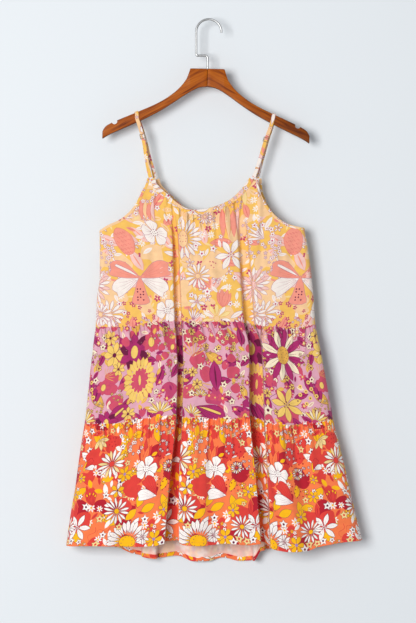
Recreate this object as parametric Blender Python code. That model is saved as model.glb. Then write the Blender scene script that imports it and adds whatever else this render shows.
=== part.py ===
"""A three-tier cami sundress hanging on its wooden hanger.

The tables are in millimetres and the scene is in metres. Seen from the front, +X is to the right,
+Y goes away from the viewer and +Z is up. The origin is the inside top of the hanger's hook, where
a rail would carry it. The dress is one flattened tube of cloth: a front and a back panel in each
tier, which meet at the side seams in the plane Y = 0.
"""

import math

import bmesh
import bpy
import numpy as np
from mathutils import Matrix, Vector

MM = 0.001
GAP = 0.3  # between pieces that are sewn or fitted together
CLOTH = 1.2  # wall of a panel

# Hook of round wire, bent in the plane Y = 0.
WIRE = 4.5
HOOK_RADIUS = 25.3  # of the wire's centre line over the rail
HOOK_CRANK = -70.9  # level of the short run that brings the wire back over the stem
STEM_X = -2.6
STEM_IN_WOOD = 22.0
CRANK_BENDS = {"outer": 3.2, "inner": 4.6}  # bend radii of the wire's centre line

# Hanger: two mirrored wooden halves that butt at the stem.
WOOD_TOP = -97.8
WOOD = 12.0  # thickness
WOOD_EDGE = 1.8  # rounding of its edges
TILT = 1.35  # degrees that the right arm hangs below the left
NOTCH = {"out": 184.5, "drop": 110.5, "radius": 5.6}
UPPER_EDGE = (  # out from the seam, drop below the top
    (34.4, 0.0), (37.5, 10.0), (41.5, 21.0), (47.0, 29.5), (53.5, 37.5), (63.0, 47.0),
    (84.0, 62.8), (105.0, 74.7), (138.0, 89.8), (178.0, 107.5), (192.0, 114.3),
    (201.0, 119.8), (206.5, 127.0), (209.3, 136.0), (209.6, 145.2),
)
LOWER_EDGE = (
    (208.0, 145.4), (197.0, 138.4), (169.0, 125.0), (140.5, 111.5), (98.0, 89.4),
    (70.0, 71.6), (42.0, 52.2), (27.6, 43.4), (13.5, 37.4), (0.0, 36.0),
)

# Straps: flat bands from a front corner of the bodice, over a hanger arm, to a back corner.
STRAP = {"width": 7.8, "thick": 1.6}
STRAP_TOP = {"left": -145.5, "right": 131.3}  # where each crosses the wood's upper edge
STRAP_OFF_WOOD = 0.5
STRAND_END = 8.1  # how far off the seam plane a strand's centre line ends, at its corner
STRANDS = {  # x, level down each strand from under the arm to the corner
    ("left", "front"): ((-144.6, -196.0), (-139.0, -214.0), (-132.5, -235.7), (-125.2, -279.0),
                        (-120.6, -304.0), (-117.2, -316.8)),
    ("left", "back"): ((-143.6, -196.0), (-136.5, -214.0), (-129.5, -235.7), (-119.0, -279.0),
                       (-111.6, -304.0), (-109.0, -316.8)),
    ("right", "front"): ((129.4, -197.0), (124.6, -214.0), (116.6, -235.7), (104.6, -274.0),
                         (95.0, -304.0), (90.4, -316.8)),
    ("right", "back"): ((130.4, -197.0), (126.8, -214.0), (119.8, -235.7), (109.0, -274.0),
                        (101.2, -304.0), (98.2, -316.8)),
}
SLIDER_LEVEL = {"left": -234.0, "right": -241.0}
SLIDER = {"half_tall": 4.8, "bar": 1.2, "clear": 0.5}

# Bodice edges, each from a strap corner: the finished edge of the binding.
NECK_EDGE = (
    (-108.6, -318.0), (-105.6, -328.0), (-95.4, -340.0), (-81.0, -352.6), (-68.4, -364.8),
    (-54.0, -374.8), (-41.0, -380.8), (-26.0, -382.6), (-12.0, -381.2), (10.0, -376.6),
    (29.0, -369.4), (44.5, -361.0), (57.5, -349.6), (72.2, -332.8), (82.4, -318.0),
)
ARM_EDGE = {
    "left": ((-123.2, -318.0), (-125.4, -328.0), (-133.0, -343.0), (-140.8, -359.0),
             (-148.0, -372.0), (-157.2, -384.0), (-166.0, -392.4), (-179.0, -402.2),
             (-203.0, -413.4), (-219.6, -424.0)),
    "right": ((98.0, -318.0), (99.2, -328.0), (102.8, -346.0), (109.0, -360.0),
              (123.0, -382.0), (136.4, -396.4), (156.0, -409.4), (174.6, -415.2),
              (192.0, -418.4)),
}
BACK_SHIFT = 8.0  # the back's corners sit this far to the right of the front's
BACK_DROP = 3.0  # and its neckline this much lower
NECK_CASING = 9.0  # widths of the bindings
ARM_BINDING = 4.6
BINDING_OUT, BINDING_IN = 0.6, 1.8  # how far a binding lies outside and inside the cloth's face
APEX_LEVEL = -323.0  # top of the bodice panel, between the two bindings of a corner
UNDERARM_TURN = 24.0  # length over which an armhole binding turns in line with the side seam

SIDES = (  # level, left side seam, right side seam
    (-418.0, -219.6, 192.0), (-462.0, -219.5, 200.0), (-514.0, -219.5, 206.6),
    (-563.0, -225.4, 211.4), (-613.0, -227.6, 214.8), (-653.0, -233.6, 224.2),
    (-694.0, -238.0, 233.2), (-748.0, -243.0, 242.2), (-812.0, -250.2, 252.0),
    (-861.0, -258.4, 265.0), (-903.0, -264.0, 275.8), (-945.0, -269.6, 284.2),
    (-996.0, -279.4, 296.2), (-1056.0, -287.0, 311.4),
)
SEAM_1 = {  # x, level of the seam between the bodice and the middle tier
    "front": ((-228.0, -617.0), (-197.0, -617.6), (-148.0, -616.6), (-118.0, -607.4),
              (-58.0, -606.0), (57.0, -607.0), (113.0, -616.0), (170.0, -620.0), (215.0, -612.0)),
    "back": ((-228.0, -617.0), (-120.0, -613.0), (0.0, -616.0), (110.0, -611.0),
             (215.0, -612.0)),
}
SEAM_2 = {  # between the middle tier and the bottom one
    "front": ((-250.0, -811.0), (-217.0, -811.0), (-176.0, -809.0), (-143.0, -801.8),
              (-114.0, -797.8), (-64.0, -792.8), (-52.0, -797.6), (-22.0, -798.6),
              (35.0, -801.6), (80.0, -795.6), (116.0, -808.2), (156.0, -812.6),
              (200.0, -810.6), (246.0, -803.0)),
    "back": ((-250.0, -811.0), (-150.0, -816.0), (-40.0, -812.0), (80.0, -817.0),
             (170.0, -810.0), (246.0, -803.0)),
}
HEM = {
    "front": ((-287.0, -1056.0), (-258.0, -1054.4), (-221.0, -1054.0), (-162.0, -1055.0),
              (-131.0, -1054.0), (-106.0, -1052.0), (-90.0, -1048.0), (-62.0, -1046.0),
              (-49.0, -1050.6), (-17.0, -1052.4), (42.0, -1048.0), (78.0, -1050.6),
              (106.0, -1048.4), (121.0, -1055.6), (134.0, -1060.6), (166.0, -1065.0),
              (198.0, -1063.6), (217.0, -1057.0), (268.0, -1046.8), (311.0, -1044.0)),
    "back": ((-287.0, -1056.0), (-230.0, -1058.0), (-185.0, -1064.0), (-156.0, -1076.0),
             (-100.0, -1085.0), (-64.0, -1081.0), (-32.0, -1092.0), (0.0, -1091.0),
             (28.0, -1085.0), (64.0, -1092.0), (90.0, -1090.0), (107.0, -1068.0),
             (200.0, -1064.0), (311.0, -1044.0)),
}

# How far the cloth stands off the plane of the side seams, before its folds.
STAND_OFF = (  # level, near the sides, more at the middle in front, more at the middle behind
    (-315.0, 8.6, 0.0, 0.0), (-370.0, 9.6, 1.6, 1.0), (-420.0, 11.0, 3.0, 2.0),
    (-520.0, 12.0, 7.0, 4.0), (-612.0, 14.0, 10.0, 5.0), (-700.0, 17.0, 13.0, 6.0),
    (-812.0, 21.0, 16.0, 7.0), (-930.0, 25.0, 20.0, 8.0), (-1095.0, 28.0, 24.0, 9.0),
)
SIDE_ROUNDING = 0.8  # radius at a side seam, as a share of the stand-off there
SIDE_SLOPE = 50.0  # the slope that counts as square to the seam plane, at a side seam

FOLDS = {  # level, x of its middle, half its width, its depth, width of each wall
    "front": {
        "left_deep": (
            (-384.0, -73.0, 1.5, 0.0, 4.0), (-437.0, -66.8, 2.0, 4.5, 6.0),
            (-495.0, -65.0, 2.2, 7.0, 7.0), (-606.0, -61.0, 3.0, 10.0, 8.0),
            (-700.0, -56.5, 3.5, 17.0, 7.0), (-796.0, -59.0, 4.0, 22.0, 6.0),
            (-930.0, -69.0, 7.5, 31.0, 6.0), (-1050.0, -74.0, 12.5, 37.0, 6.0),
        ),
        "right_deep": (
            (-356.0, 57.0, 2.0, 0.0, 6.0), (-416.0, 67.0, 3.0, 3.5, 9.0),
            (-500.0, 74.0, 4.0, 6.0, 11.0), (-607.0, 82.0, 6.0, 10.0, 11.0),
            (-660.0, 94.0, 10.0, 19.0, 8.0), (-796.0, 97.0, 12.5, 24.0, 7.0),
            (-900.0, 105.0, 10.0, 31.0, 7.0), (-1050.0, 113.5, 7.0, 38.0, 7.0),
        ),
        "left_soft": (
            (-600.0, -150.0, 4.0, 0.0, 26.0), (-812.0, -160.0, 4.0, 4.0, 26.0),
            (-1055.0, -172.0, 5.0, 9.0, 30.0),
        ),
        "middle_soft": (
            (-600.0, 10.0, 3.0, 0.0, 26.0), (-812.0, 14.0, 4.0, 5.0, 28.0),
            (-1055.0, 20.0, 5.0, 10.0, 30.0),
        ),
        "right_soft": (
            (-600.0, 160.0, 3.0, 0.0, 26.0), (-812.0, 176.0, 4.0, 5.0, 26.0),
            (-1055.0, 212.0, 6.0, 11.0, 30.0),
        ),
    },
    "back": {
        "left_deep": (
            (-420.0, -96.0, 2.0, 0.0, 10.0), (-612.0, -104.0, 3.0, 5.0, 12.0),
            (-812.0, -112.0, 6.0, 13.0, 14.0), (-1080.0, -120.0, 10.0, 22.0, 16.0),
        ),
        "right_deep": (
            (-420.0, 62.0, 2.0, 0.0, 10.0), (-612.0, 78.0, 3.0, 5.0, 12.0),
            (-812.0, 92.0, 6.0, 13.0, 14.0), (-1080.0, 102.0, 8.0, 22.0, 12.0),
        ),
        "middle_soft": (
            (-612.0, -8.0, 4.0, 0.0, 26.0), (-812.0, -10.0, 4.0, 5.0, 26.0),
            (-1080.0, -14.0, 6.0, 10.0, 30.0),
        ),
    },
}
DEEP_FOLDS = ("left_deep", "right_deep")
FOLD_AT_NECK = -400.0  # the level whose deep folds the neck's columns are gathered to

# Mesh density: columns from side seam to corner, to fold, to fold, to corner, to side seam.
COLUMNS = {"front": (9, 6, 14, 5, 9), "back": (8, 4, 9, 4, 8)}
ROWS = {"front": (9, 6, 7), "back": (8, 5, 6)}
FINE = 400  # steps in which a line along the cloth is measured
FACING = {"front": -1.0, "back": 1.0}
HAND = {"left": -1.0, "right": 1.0}

COLOURS = {  # slot: red, green, blue, roughness, metallic
    "steel": (0.72, 0.72, 0.70, 0.25, 1.0),
    "wood": (0.42, 0.10, 0.02, 0.38, 0.0),
    "slider": (0.45, 0.36, 0.25, 0.35, 0.6),
    "bodice": (0.88, 0.55, 0.22, 0.85, 0.0),
    "middle": (0.55, 0.20, 0.34, 0.85, 0.0),
    "bottom": (0.83, 0.20, 0.08, 0.85, 0.0),
}


def clear_scene():
    for thing in list(bpy.data.objects):
        bpy.data.objects.remove(thing)


def make_material(slot):
    red, green, blue, roughness, metallic = COLOURS[slot]
    material = bpy.data.materials.new(slot)
    material.use_nodes = True
    shader = material.node_tree.nodes["Principled BSDF"]
    shader.inputs["Base Color"].default_value = (red, green, blue, 1.0)
    shader.inputs["Roughness"].default_value = roughness
    shader.inputs["Metallic"].default_value = metallic
    return material


def add_object(name, data, slot):
    thing = bpy.data.objects.new(name, data)
    thing.data.materials.append(MATERIALS[slot])
    bpy.context.collection.objects.link(thing)
    return thing


def add_mesh(name, points, faces, slot):
    """A closed mesh from points in millimetres, its faces turned outwards."""
    mesh = bpy.data.meshes.new(name)
    mesh.from_pydata([Vector(p) * MM for p in points], [], faces)
    shape = bmesh.new()
    shape.from_mesh(mesh)
    bmesh.ops.recalc_face_normals(shape, faces=shape.faces)
    shape.to_mesh(mesh)
    shape.free()
    mesh.shade_smooth()
    mesh.set_sharp_from_angle(angle=math.radians(40))
    return add_object(name, mesh, slot)


def add_helper(name, mesh):
    """A shape that only cuts or joins others."""
    helper = bpy.data.objects.new(name, mesh)
    bpy.context.collection.objects.link(helper)
    helper.hide_render = True
    helper.display_type = "WIRE"
    return helper


def soft_curve(table, column, at):
    """The column of a table at the places `at` of its first column, with no overshoot."""
    rows = np.array(sorted(table), float)
    x, y = rows[:, 0], rows[:, column]
    slope = np.diff(y) / np.diff(x)
    both = slope[:-1] * slope[1:]
    inner = np.where(both > 0, 2 * both / np.where(both > 0, slope[:-1] + slope[1:], 1), 0)
    tangent = np.concatenate([slope[:1], inner, slope[-1:]])
    at = np.clip(np.asarray(at, float), x[0], x[-1])
    k = np.clip(np.searchsorted(x, at, side="right") - 1, 0, len(x) - 2)
    step = x[k + 1] - x[k]
    t = (at - x[k]) / step
    return (
        (2 * t**3 - 3 * t**2 + 1) * y[k]
        + (t**3 - 2 * t**2 + t) * step * tangent[k]
        + (3 * t**2 - 2 * t**3) * y[k + 1]
        + (t**3 - t**2) * step * tangent[k + 1]
    )


def smooth_path(points, spacing):
    """Even points, about `spacing` apart, on a smooth curve through the given ones."""
    points = np.array(points, float)
    run = np.concatenate([[0], np.cumsum(np.linalg.norm(np.diff(points, axis=0), axis=1))])
    tangent = np.gradient(points, run, axis=0)
    count = max(2, round(run[-1] / spacing))
    at = np.linspace(0, run[-1], count + 1)
    k = np.clip(np.searchsorted(run, at, side="right") - 1, 0, len(run) - 2)
    step = (run[k + 1] - run[k])[:, None]
    t = (at - run[k])[:, None] / step
    return (
        (2 * t**3 - 3 * t**2 + 1) * points[k]
        + (t**3 - 2 * t**2 + t) * step * tangent[k]
        + (3 * t**2 - 2 * t**3) * points[k + 1]
        + (t**3 - t**2) * step * tangent[k + 1]
    )


# The hook and the hanger


def arc(centre, radius, start, end, steps):
    """Points in the plane Y = 0 on an arc between two angles in degrees."""
    return [
        (centre[0] + radius * math.cos(a), 0.0, centre[1] + radius * math.sin(a))
        for a in np.radians(np.linspace(start, end, steps + 1))
    ]


def make_hook():
    inside = HOOK_RADIUS - WIRE / 2
    left = -HOOK_RADIUS
    outer, inner = CRANK_BENDS["outer"], CRANK_BENDS["inner"]
    route = [(STEM_X, 0.0, WOOD_TOP - STEM_IN_WOOD), (STEM_X, 0.0, WOOD_TOP)]
    route += arc((STEM_X - inner, HOOK_CRANK - inner), inner, 0, 90, 5)
    route += arc((left + outer, HOOK_CRANK + outer), outer, 270, 180, 5)
    route += arc((0.0, -inside), HOOK_RADIUS, 180, -4, 22)
    curve = bpy.data.curves.new("hook", "CURVE")
    curve.dimensions = "3D"
    curve.bevel_depth = WIRE / 2 * MM
    curve.bevel_resolution = 3
    curve.use_fill_caps = True
    spline = curve.splines.new("POLY")
    spline.points.add(len(route) - 1)
    for point, place in zip(spline.points, route, strict=True):
        point.co = (*(Vector(place) * MM), 1.0)
    return add_object("hook", curve, "steel")


def hanger_place(out, drop, hand):
    """World X and Z, in millimetres, of a place on a hanger half."""
    angle = -math.radians(TILT)
    x, z = hand * out, -drop
    return (
        STEM_X + x * math.cos(angle) - z * math.sin(angle),
        WOOD_TOP + x * math.sin(angle) + z * math.cos(angle),
    )


def make_hanger_half(side, bore):
    """A half's outline, extruded through the wood, with rounded edges, a notch and half a bore."""
    hand = HAND[side]
    upper = smooth_path(UPPER_EDGE, 7.0)
    lower = smooth_path(LOWER_EDGE, 9.0)
    outline = [(GAP / 2, 0.0), *upper, *lower[:-1], (GAP / 2, LOWER_EDGE[-1][1])]
    rim = [hanger_place(out, drop, hand) for out, drop in outline]
    count = len(rim)
    points = [(x, y, z) for y in (-WOOD / 2, WOOD / 2) for x, z in rim]
    faces = [tuple(range(count)), tuple(reversed(range(count, 2 * count)))]
    faces += [(i, (i + 1) % count, (i + 1) % count + count, i + count) for i in range(count)]
    half = add_mesh(f"hanger_{side}", points, faces, "wood")
    rounding = half.modifiers.new("edges", "BEVEL")
    rounding.width = WOOD_EDGE * MM
    rounding.segments = 2
    rounding.limit_method = "ANGLE"
    rounding.angle_limit = math.radians(50)
    x, z = hanger_place(NOTCH["out"], NOTCH["drop"], hand)
    notch = make_cutter(f"notch_{side}", NOTCH["radius"], 2 * WOOD, 20)
    notch.location = Vector((x, 0.0, z)) * MM
    notch.rotation_euler = (math.radians(90), 0.0, 0.0)
    for cutter in (notch, bore):
        cut = half.modifiers.new(cutter.name, "BOOLEAN")
        cut.operation = "DIFFERENCE"
        cut.object = cutter
    return half


def make_cutter(name, radius, length, sides):
    mesh = bpy.data.meshes.new(name)
    shape = bmesh.new()
    bmesh.ops.create_cone(
        shape, cap_ends=True, segments=sides, radius1=radius * MM, radius2=radius * MM,
        depth=length * MM,
    )
    shape.to_mesh(mesh)
    shape.free()
    return add_helper(name, mesh)


def make_hanger():
    bore = make_cutter("stem_bore", WIRE / 2 + GAP, 2 * (STEM_IN_WOOD + 1.5), 16)
    bore.location = Vector((STEM_X, 0.0, WOOD_TOP)) * MM
    return [make_hanger_half(side, bore) for side in HAND]


# The cloth's form


def side_seams(level):
    return soft_curve(SIDES, 1, level), soft_curve(SIDES, 2, level)


def fold_depth(face, x, level):
    """How far the folds take the cloth back towards the middle of the tube."""
    total = np.zeros_like(x)
    for rows in FOLDS[face].values():
        middle, half, depth, wall = (soft_curve(rows, c, level) for c in (1, 2, 3, 4))
        into_wall = np.clip((np.abs(x - middle) - half) / wall, 0, 1)
        total += depth * 0.5 * (1 + np.cos(np.pi * into_wall))
    return total


def cloth_y(face, x, level):
    """Y of a panel's outer face, at x and level."""
    x, level = np.asarray(x, float), np.asarray(level, float)
    left, right = side_seams(level)
    near_side = soft_curve(STAND_OFF, 1, level)
    at_middle = soft_curve(STAND_OFF, 2 if face == "front" else 3, level)
    from_side = np.clip(np.minimum(x - left, right - x), 0, None)
    rounding = 1 - np.clip(from_side / (SIDE_ROUNDING * near_side), 0, 1)
    across = np.clip((2 * x - left - right) / (right - left), -1, 1)
    stand = near_side + at_middle * (1 - across**2) - fold_depth(face, x, level)
    return FACING[face] * (GAP / 2 + stand * np.sqrt(1 - rounding**2))


def cloth_normal(face, x, level):
    """Unit normals of a panel's outer face, pointing out of the dress."""
    left, right = side_seams(level)
    step = 0.05  # a short way along the cloth, either side of each place
    low, high = np.maximum(x - step, left), np.minimum(x + step, right)
    along_x = (cloth_y(face, high, level) - cloth_y(face, low, level)) / (high - low)
    along_z = (cloth_y(face, x, level + step) - cloth_y(face, x, level - step)) / (2 * step)
    at_side = np.minimum(x - left, right - x) < step
    along_z = np.where(at_side, 0, along_z)
    along_x = np.where(at_side, np.sign(along_x) * SIDE_SLOPE, along_x)
    normal = np.stack([-along_x, np.ones_like(x), -along_z], -1) * FACING[face]
    return normal / np.linalg.norm(normal, axis=-1, keepdims=True)


def cloth_point(face, x, level, out=0.0):
    """A place on a panel's outer face, moved out by `out` along the normal."""
    x, level = np.asarray(x, float), np.asarray(level, float)
    points = np.stack([x, cloth_y(face, x, level), level], -1)
    return points + out * cloth_normal(face, x, level)


def finished_edges(face):
    """Each finished edge of the bodice as (path, directions into the cloth, run along it)."""
    tables = {"neck": NECK_EDGE, **ARM_EDGE}
    edges = {}
    for name, table in tables.items():
        path = np.array(table, float)
        if face == "back" and name == "neck":
            path[:, 0] += BACK_SHIFT
            path[:, 1] -= BACK_DROP * np.sin(np.linspace(0, np.pi, len(path)))
        elif face == "back":
            path[:, 0] += BACK_SHIFT * (path[:, 1] - path[-1, 1]) / (path[0, 1] - path[-1, 1])
        path = smooth_path(path, 2.0)
        direction = np.gradient(path, axis=0)
        inward = np.stack([direction[:, 1], -direction[:, 0]], 1)
        inward *= -np.sign(inward[len(inward) // 2, 1])
        inward /= np.linalg.norm(inward, axis=1)[:, None]
        if name != "neck":  # at the underarm the binding turns down, along the side seam
            column = 1 if name == "left" else 2
            path[-1, 0], below = soft_curve(SIDES, column, path[-1, 1] - np.array([0.0, 5.0]))
            down = np.array([below - path[-1, 0], -5.0])
            from_end = np.linalg.norm(path - path[-1], axis=1)
            turn = np.clip(1 - from_end / UNDERARM_TURN, 0, 1)[:, None]
            inward = inward * (1 - turn) + down / np.linalg.norm(down) * turn
            inward /= np.linalg.norm(inward, axis=1)[:, None]
        run = np.concatenate([[0], np.cumsum(np.linalg.norm(np.diff(path, axis=0), axis=1))])
        edges[name] = (path, inward, run)
    return edges


def on_edge(edge, runs, inside=0.0):
    """X and level of places along an edge, `inside` it by a distance."""
    path, inward, run = edge
    moved = path + inside * inward
    return np.stack([np.interp(runs, run, moved[:, k]) for k in (0, 1)], 1)


def run_at_apex(edge, inside, from_start=True):
    """How far along an edge its inner side comes down to the top of the bodice panel."""
    run = edge[2] if from_start else edge[2][::-1]
    level = on_edge(edge, run, inside)[:, 1]
    return float(run[np.argmax(level < APEX_LEVEL)])


def even_runs(edge, inside, start, end, count):
    """Runs from start to end whose inner places are evenly spaced."""
    runs = np.linspace(start, end, FINE)
    places = on_edge(edge, runs, inside)
    length = np.concatenate([[0], np.cumsum(np.hypot(*np.diff(places, axis=0).T))])
    return np.interp(np.linspace(0, length[-1], count + 1), length, runs)


def bodice_runs(face):
    """Where the bodice's columns meet each finished edge, from its corners."""
    edges, counts = finished_edges(face), COLUMNS[face]
    inside = {"neck": NECK_CASING + GAP, "left": ARM_BINDING + GAP, "right": ARM_BINDING + GAP}
    runs = {}
    for side, count in (("left", counts[0]), ("right", counts[4])):
        start = run_at_apex(edges[side], inside[side])
        runs[side] = even_runs(edges[side], inside[side], start, edges[side][2][-1], count)
    neck = edges["neck"]
    stops = [run_at_apex(neck, inside["neck"])]
    for name in DEEP_FOLDS:
        x = float(soft_curve(FOLDS[face][name], 1, FOLD_AT_NECK))
        places = on_edge(neck, neck[2], inside["neck"])
        stops.append(float(np.interp(x, places[:, 0], neck[2])))
    stops.append(run_at_apex(neck, inside["neck"], from_start=False))
    parts = [
        even_runs(neck, inside["neck"], *pair, count)[first:]
        for first, pair, count in zip((0, 1, 1), zip(stops, stops[1:]), counts[1:4])
    ]
    runs["neck"] = np.concatenate(parts)
    return edges, runs, inside


def bodice_top(face):
    """X and level of the bodice panel's top edge, from side seam to side seam."""
    edges, runs, inside = bodice_runs(face)
    left, neck, right = (on_edge(edges[n], runs[n], inside[n]) for n in ("left", "neck", "right"))
    apexes = [(left[0] + neck[0]) / 2, (neck[-1] + right[0]) / 2]
    return np.concatenate([left[:0:-1], [apexes[0]], neck[1:-1], [apexes[1]], right[1:]])


def seam_line(face, table):
    """X and level of the columns along a seam or a hem, closest together in its folds."""
    middle = float(np.mean([level for _, level in table]))
    ends = []
    for column, (_, level) in ((1, table[0]), (2, table[-1])):
        ends.append(float(soft_curve(SIDES, column, level)))
    folds = [float(soft_curve(FOLDS[face][name], 1, middle)) for name in DEEP_FOLDS]
    stations = [ends[0], *folds, ends[1]]
    counts = COLUMNS[face]
    parts = [np.array(stations[:1])]
    for start, end, count in zip(
        stations, stations[1:], (counts[0] + counts[1], counts[2], counts[3] + counts[4])
    ):
        x = np.linspace(start, end, FINE)
        y = cloth_y(face, x, soft_curve(table, 1, x))
        run = np.concatenate([[0], np.cumsum(np.hypot(np.diff(x), np.diff(y)))])
        parts.append(np.interp(np.linspace(0, run[-1], count + 1)[1:], run, x))
    x = np.concatenate(parts)
    return np.stack([x, soft_curve(table, 1, x)], 1)


def panel_grid(top, bottom, rows):
    """X and level of a panel's grid between its top and bottom edges."""
    share = np.linspace(0, 1, rows + 1)[:, None]
    level = top[:, 1] * (1 - share) + bottom[:, 1] * share
    across = []
    for edge in (top, bottom):
        left, right = side_seams(edge[:, 1])
        across.append(np.clip((edge[:, 0] - left) / (right - left), 0, 1))
    across[0][[0, -1]] = across[1][[0, -1]] = 0, 1
    left, right = side_seams(level)
    return left + (right - left) * (across[0] * (1 - share) + across[1] * share), level


def make_shell(name, outside, inside, slot):
    """A closed wall between two matching grids of points."""
    rows, columns = outside.shape[:2]
    total = rows * columns
    points = np.concatenate([outside.reshape(-1, 3), inside.reshape(-1, 3)])
    index = np.arange(total).reshape(rows, columns)
    a, b, c, d = index[:-1, :-1], index[:-1, 1:], index[1:, 1:], index[1:, :-1]
    face = np.stack([a, b, c, d], -1).reshape(-1, 4)
    faces = face.tolist() + (face[:, ::-1] + total).tolist()
    rim = [*index[0], *index[1:, -1], *index[-1, -2::-1], *index[-2:0:-1, 0]]
    following = rim[1:] + rim[:1]
    faces += [(q, p, p + total, q + total) for p, q in zip(rim, following)]
    return add_mesh(name, points.tolist(), faces, slot)


# The pieces of the dress


def make_panels(face):
    """Bodice, middle tier and bottom tier of one face."""
    edges = [bodice_top(face)]
    edges += [seam_line(face, table[face]) for table in (SEAM_1, SEAM_2, HEM)]
    half = np.array([0.0, GAP / 2])
    spans = {
        "bodice": (edges[0], edges[1] + half),
        "middle_tier": (edges[1] - half, edges[2] + half),
        "bottom_tier": (edges[2] - half, edges[3]),
    }
    for (piece, (top, bottom)), rows in zip(spans.items(), ROWS[face]):
        x, level = panel_grid(top, bottom, rows)
        outside = cloth_point(face, x, level)
        inside = cloth_point(face, x, level, -CLOTH)
        make_shell(f"{piece}_{face}", outside, inside, piece.split("_")[0])


def make_binding(name, stretches, width):
    """A narrow band, a little thicker than the cloth, along one stretch of edge after another."""
    sides = {BINDING_OUT: [], -BINDING_IN: []}
    for face, edge, runs in stretches:
        places = np.stack([on_edge(edge, runs), on_edge(edge, runs, width)])
        left, right = side_seams(places[..., 1])
        x = np.clip(places[..., 0], left, right)
        for out, grids in sides.items():
            grids.append(cloth_point(face, x, places[..., 1], out))
    outside, inside = (np.concatenate(grids, axis=1) for grids in sides.values())
    make_shell(name, outside, inside, "bodice")


def make_bindings():
    arms = {side: [] for side in HAND}
    for face in FACING:
        edges, runs, _ = bodice_runs(face)
        last = edges["neck"][2][-1]
        ends = [0.0, runs["neck"][0] / 2], [(runs["neck"][-1] + last) / 2, last]
        neck_runs = np.concatenate([ends[0], runs["neck"], ends[1]])
        make_binding(f"neck_casing_{face}", [(face, edges["neck"], neck_runs)], NECK_CASING)
        for side in HAND:
            arm_runs = np.concatenate([[0.0, runs[side][0] / 2], runs[side]])
            arms[side].append((face, edges[side], arm_runs))
    for side, (front, back) in arms.items():
        up_the_back = (*back[:2], back[2][::-1])
        make_binding(f"armhole_binding_{side}", [front, up_the_back], ARM_BINDING)


def over_the_arm(side):
    """A strap's centre line over the wood, front to back, and the way its width lies there."""
    hand, x = HAND[side], STRAP_TOP[side]
    out = np.arange(100.0, 180.0, 0.5)  # the stretch of the arm where the straps lie
    wood = np.array([hanger_place(o, d, hand) for o, d in zip(out, soft_curve(UPPER_EDGE, 1, out))])
    near = np.argmin(np.abs(wood[:, 0] - x))
    slope = np.gradient(wood, axis=0)[near]
    slope *= np.sign(slope[0]) / np.linalg.norm(slope)
    up = np.array([-slope[1], slope[0]])
    off = STRAP["thick"] / 2 + STRAP_OFF_WOOD
    front = -WOOD / 2 - off
    bend = WOOD_EDGE + off
    rows = []
    for angle in (0, 30, 60, 90):
        a = math.radians(angle)
        rows.append((front + bend * (1 - math.cos(a)), bend * math.sin(a) - WOOD_EDGE))
    rows += [(-y, rise) for y, rise in reversed(rows)]
    return [((x + up[0] * rise, y, wood[near, 1] + up[1] * rise), slope) for y, rise in rows]


def strand(side, face):
    """A strand's centre line from under the arm to its corner."""
    rows = smooth_path(STRANDS[side, face], 12.0)
    start = WOOD / 2 + STRAP["thick"] / 2 + STRAP_OFF_WOOD
    y = FACING[face] * np.linspace(start, STRAND_END, len(rows))
    return [(x, depth, z) for (x, z), depth in zip(rows, y)]


def make_strap(side):
    arch = over_the_arm(side)
    front, back = strand(side, "front"), strand(side, "back")
    route = np.array([*reversed(front), *(place for place, _ in arch), *back], float)
    along = np.gradient(route, axis=0)
    flat = np.stack([along[:, 2], -along[:, 0]], 1)
    across = np.zeros_like(route)
    first, last = len(front), len(front) + len(arch)
    for i in range(len(route)):
        if first <= i < last:
            across[i, [0, 2]] = arch[i - first][1]
        else:
            across[i, [0, 2]] = flat[i] / np.linalg.norm(flat[i]) * np.sign(flat[i][0])
    along /= np.linalg.norm(along, axis=1)[:, None]
    face_out = np.cross(across, along)
    face_out /= np.linalg.norm(face_out, axis=1)[:, None]
    width, thick = STRAP["width"] / 2, STRAP["thick"] / 2
    outside = np.stack([route - across * width, route + across * width])
    make_shell(
        f"strap_{side}", outside + face_out * thick, outside - face_out * thick, "bodice"
    )


def make_box(name, low, high, to_world):
    """A box between two corners, given in millimetres in a slider's own axes."""
    size = Vector(high) - Vector(low)
    centre = (Vector(high) + Vector(low)) / 2
    place = to_world @ Matrix.Translation(centre) @ Matrix.Diagonal((*size, 1.0))
    shape = bmesh.new()
    bmesh.ops.create_cube(shape, size=1.0, matrix=place)
    mesh = bpy.data.meshes.new(name)
    shape.to_mesh(mesh)
    shape.free()
    return mesh


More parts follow.
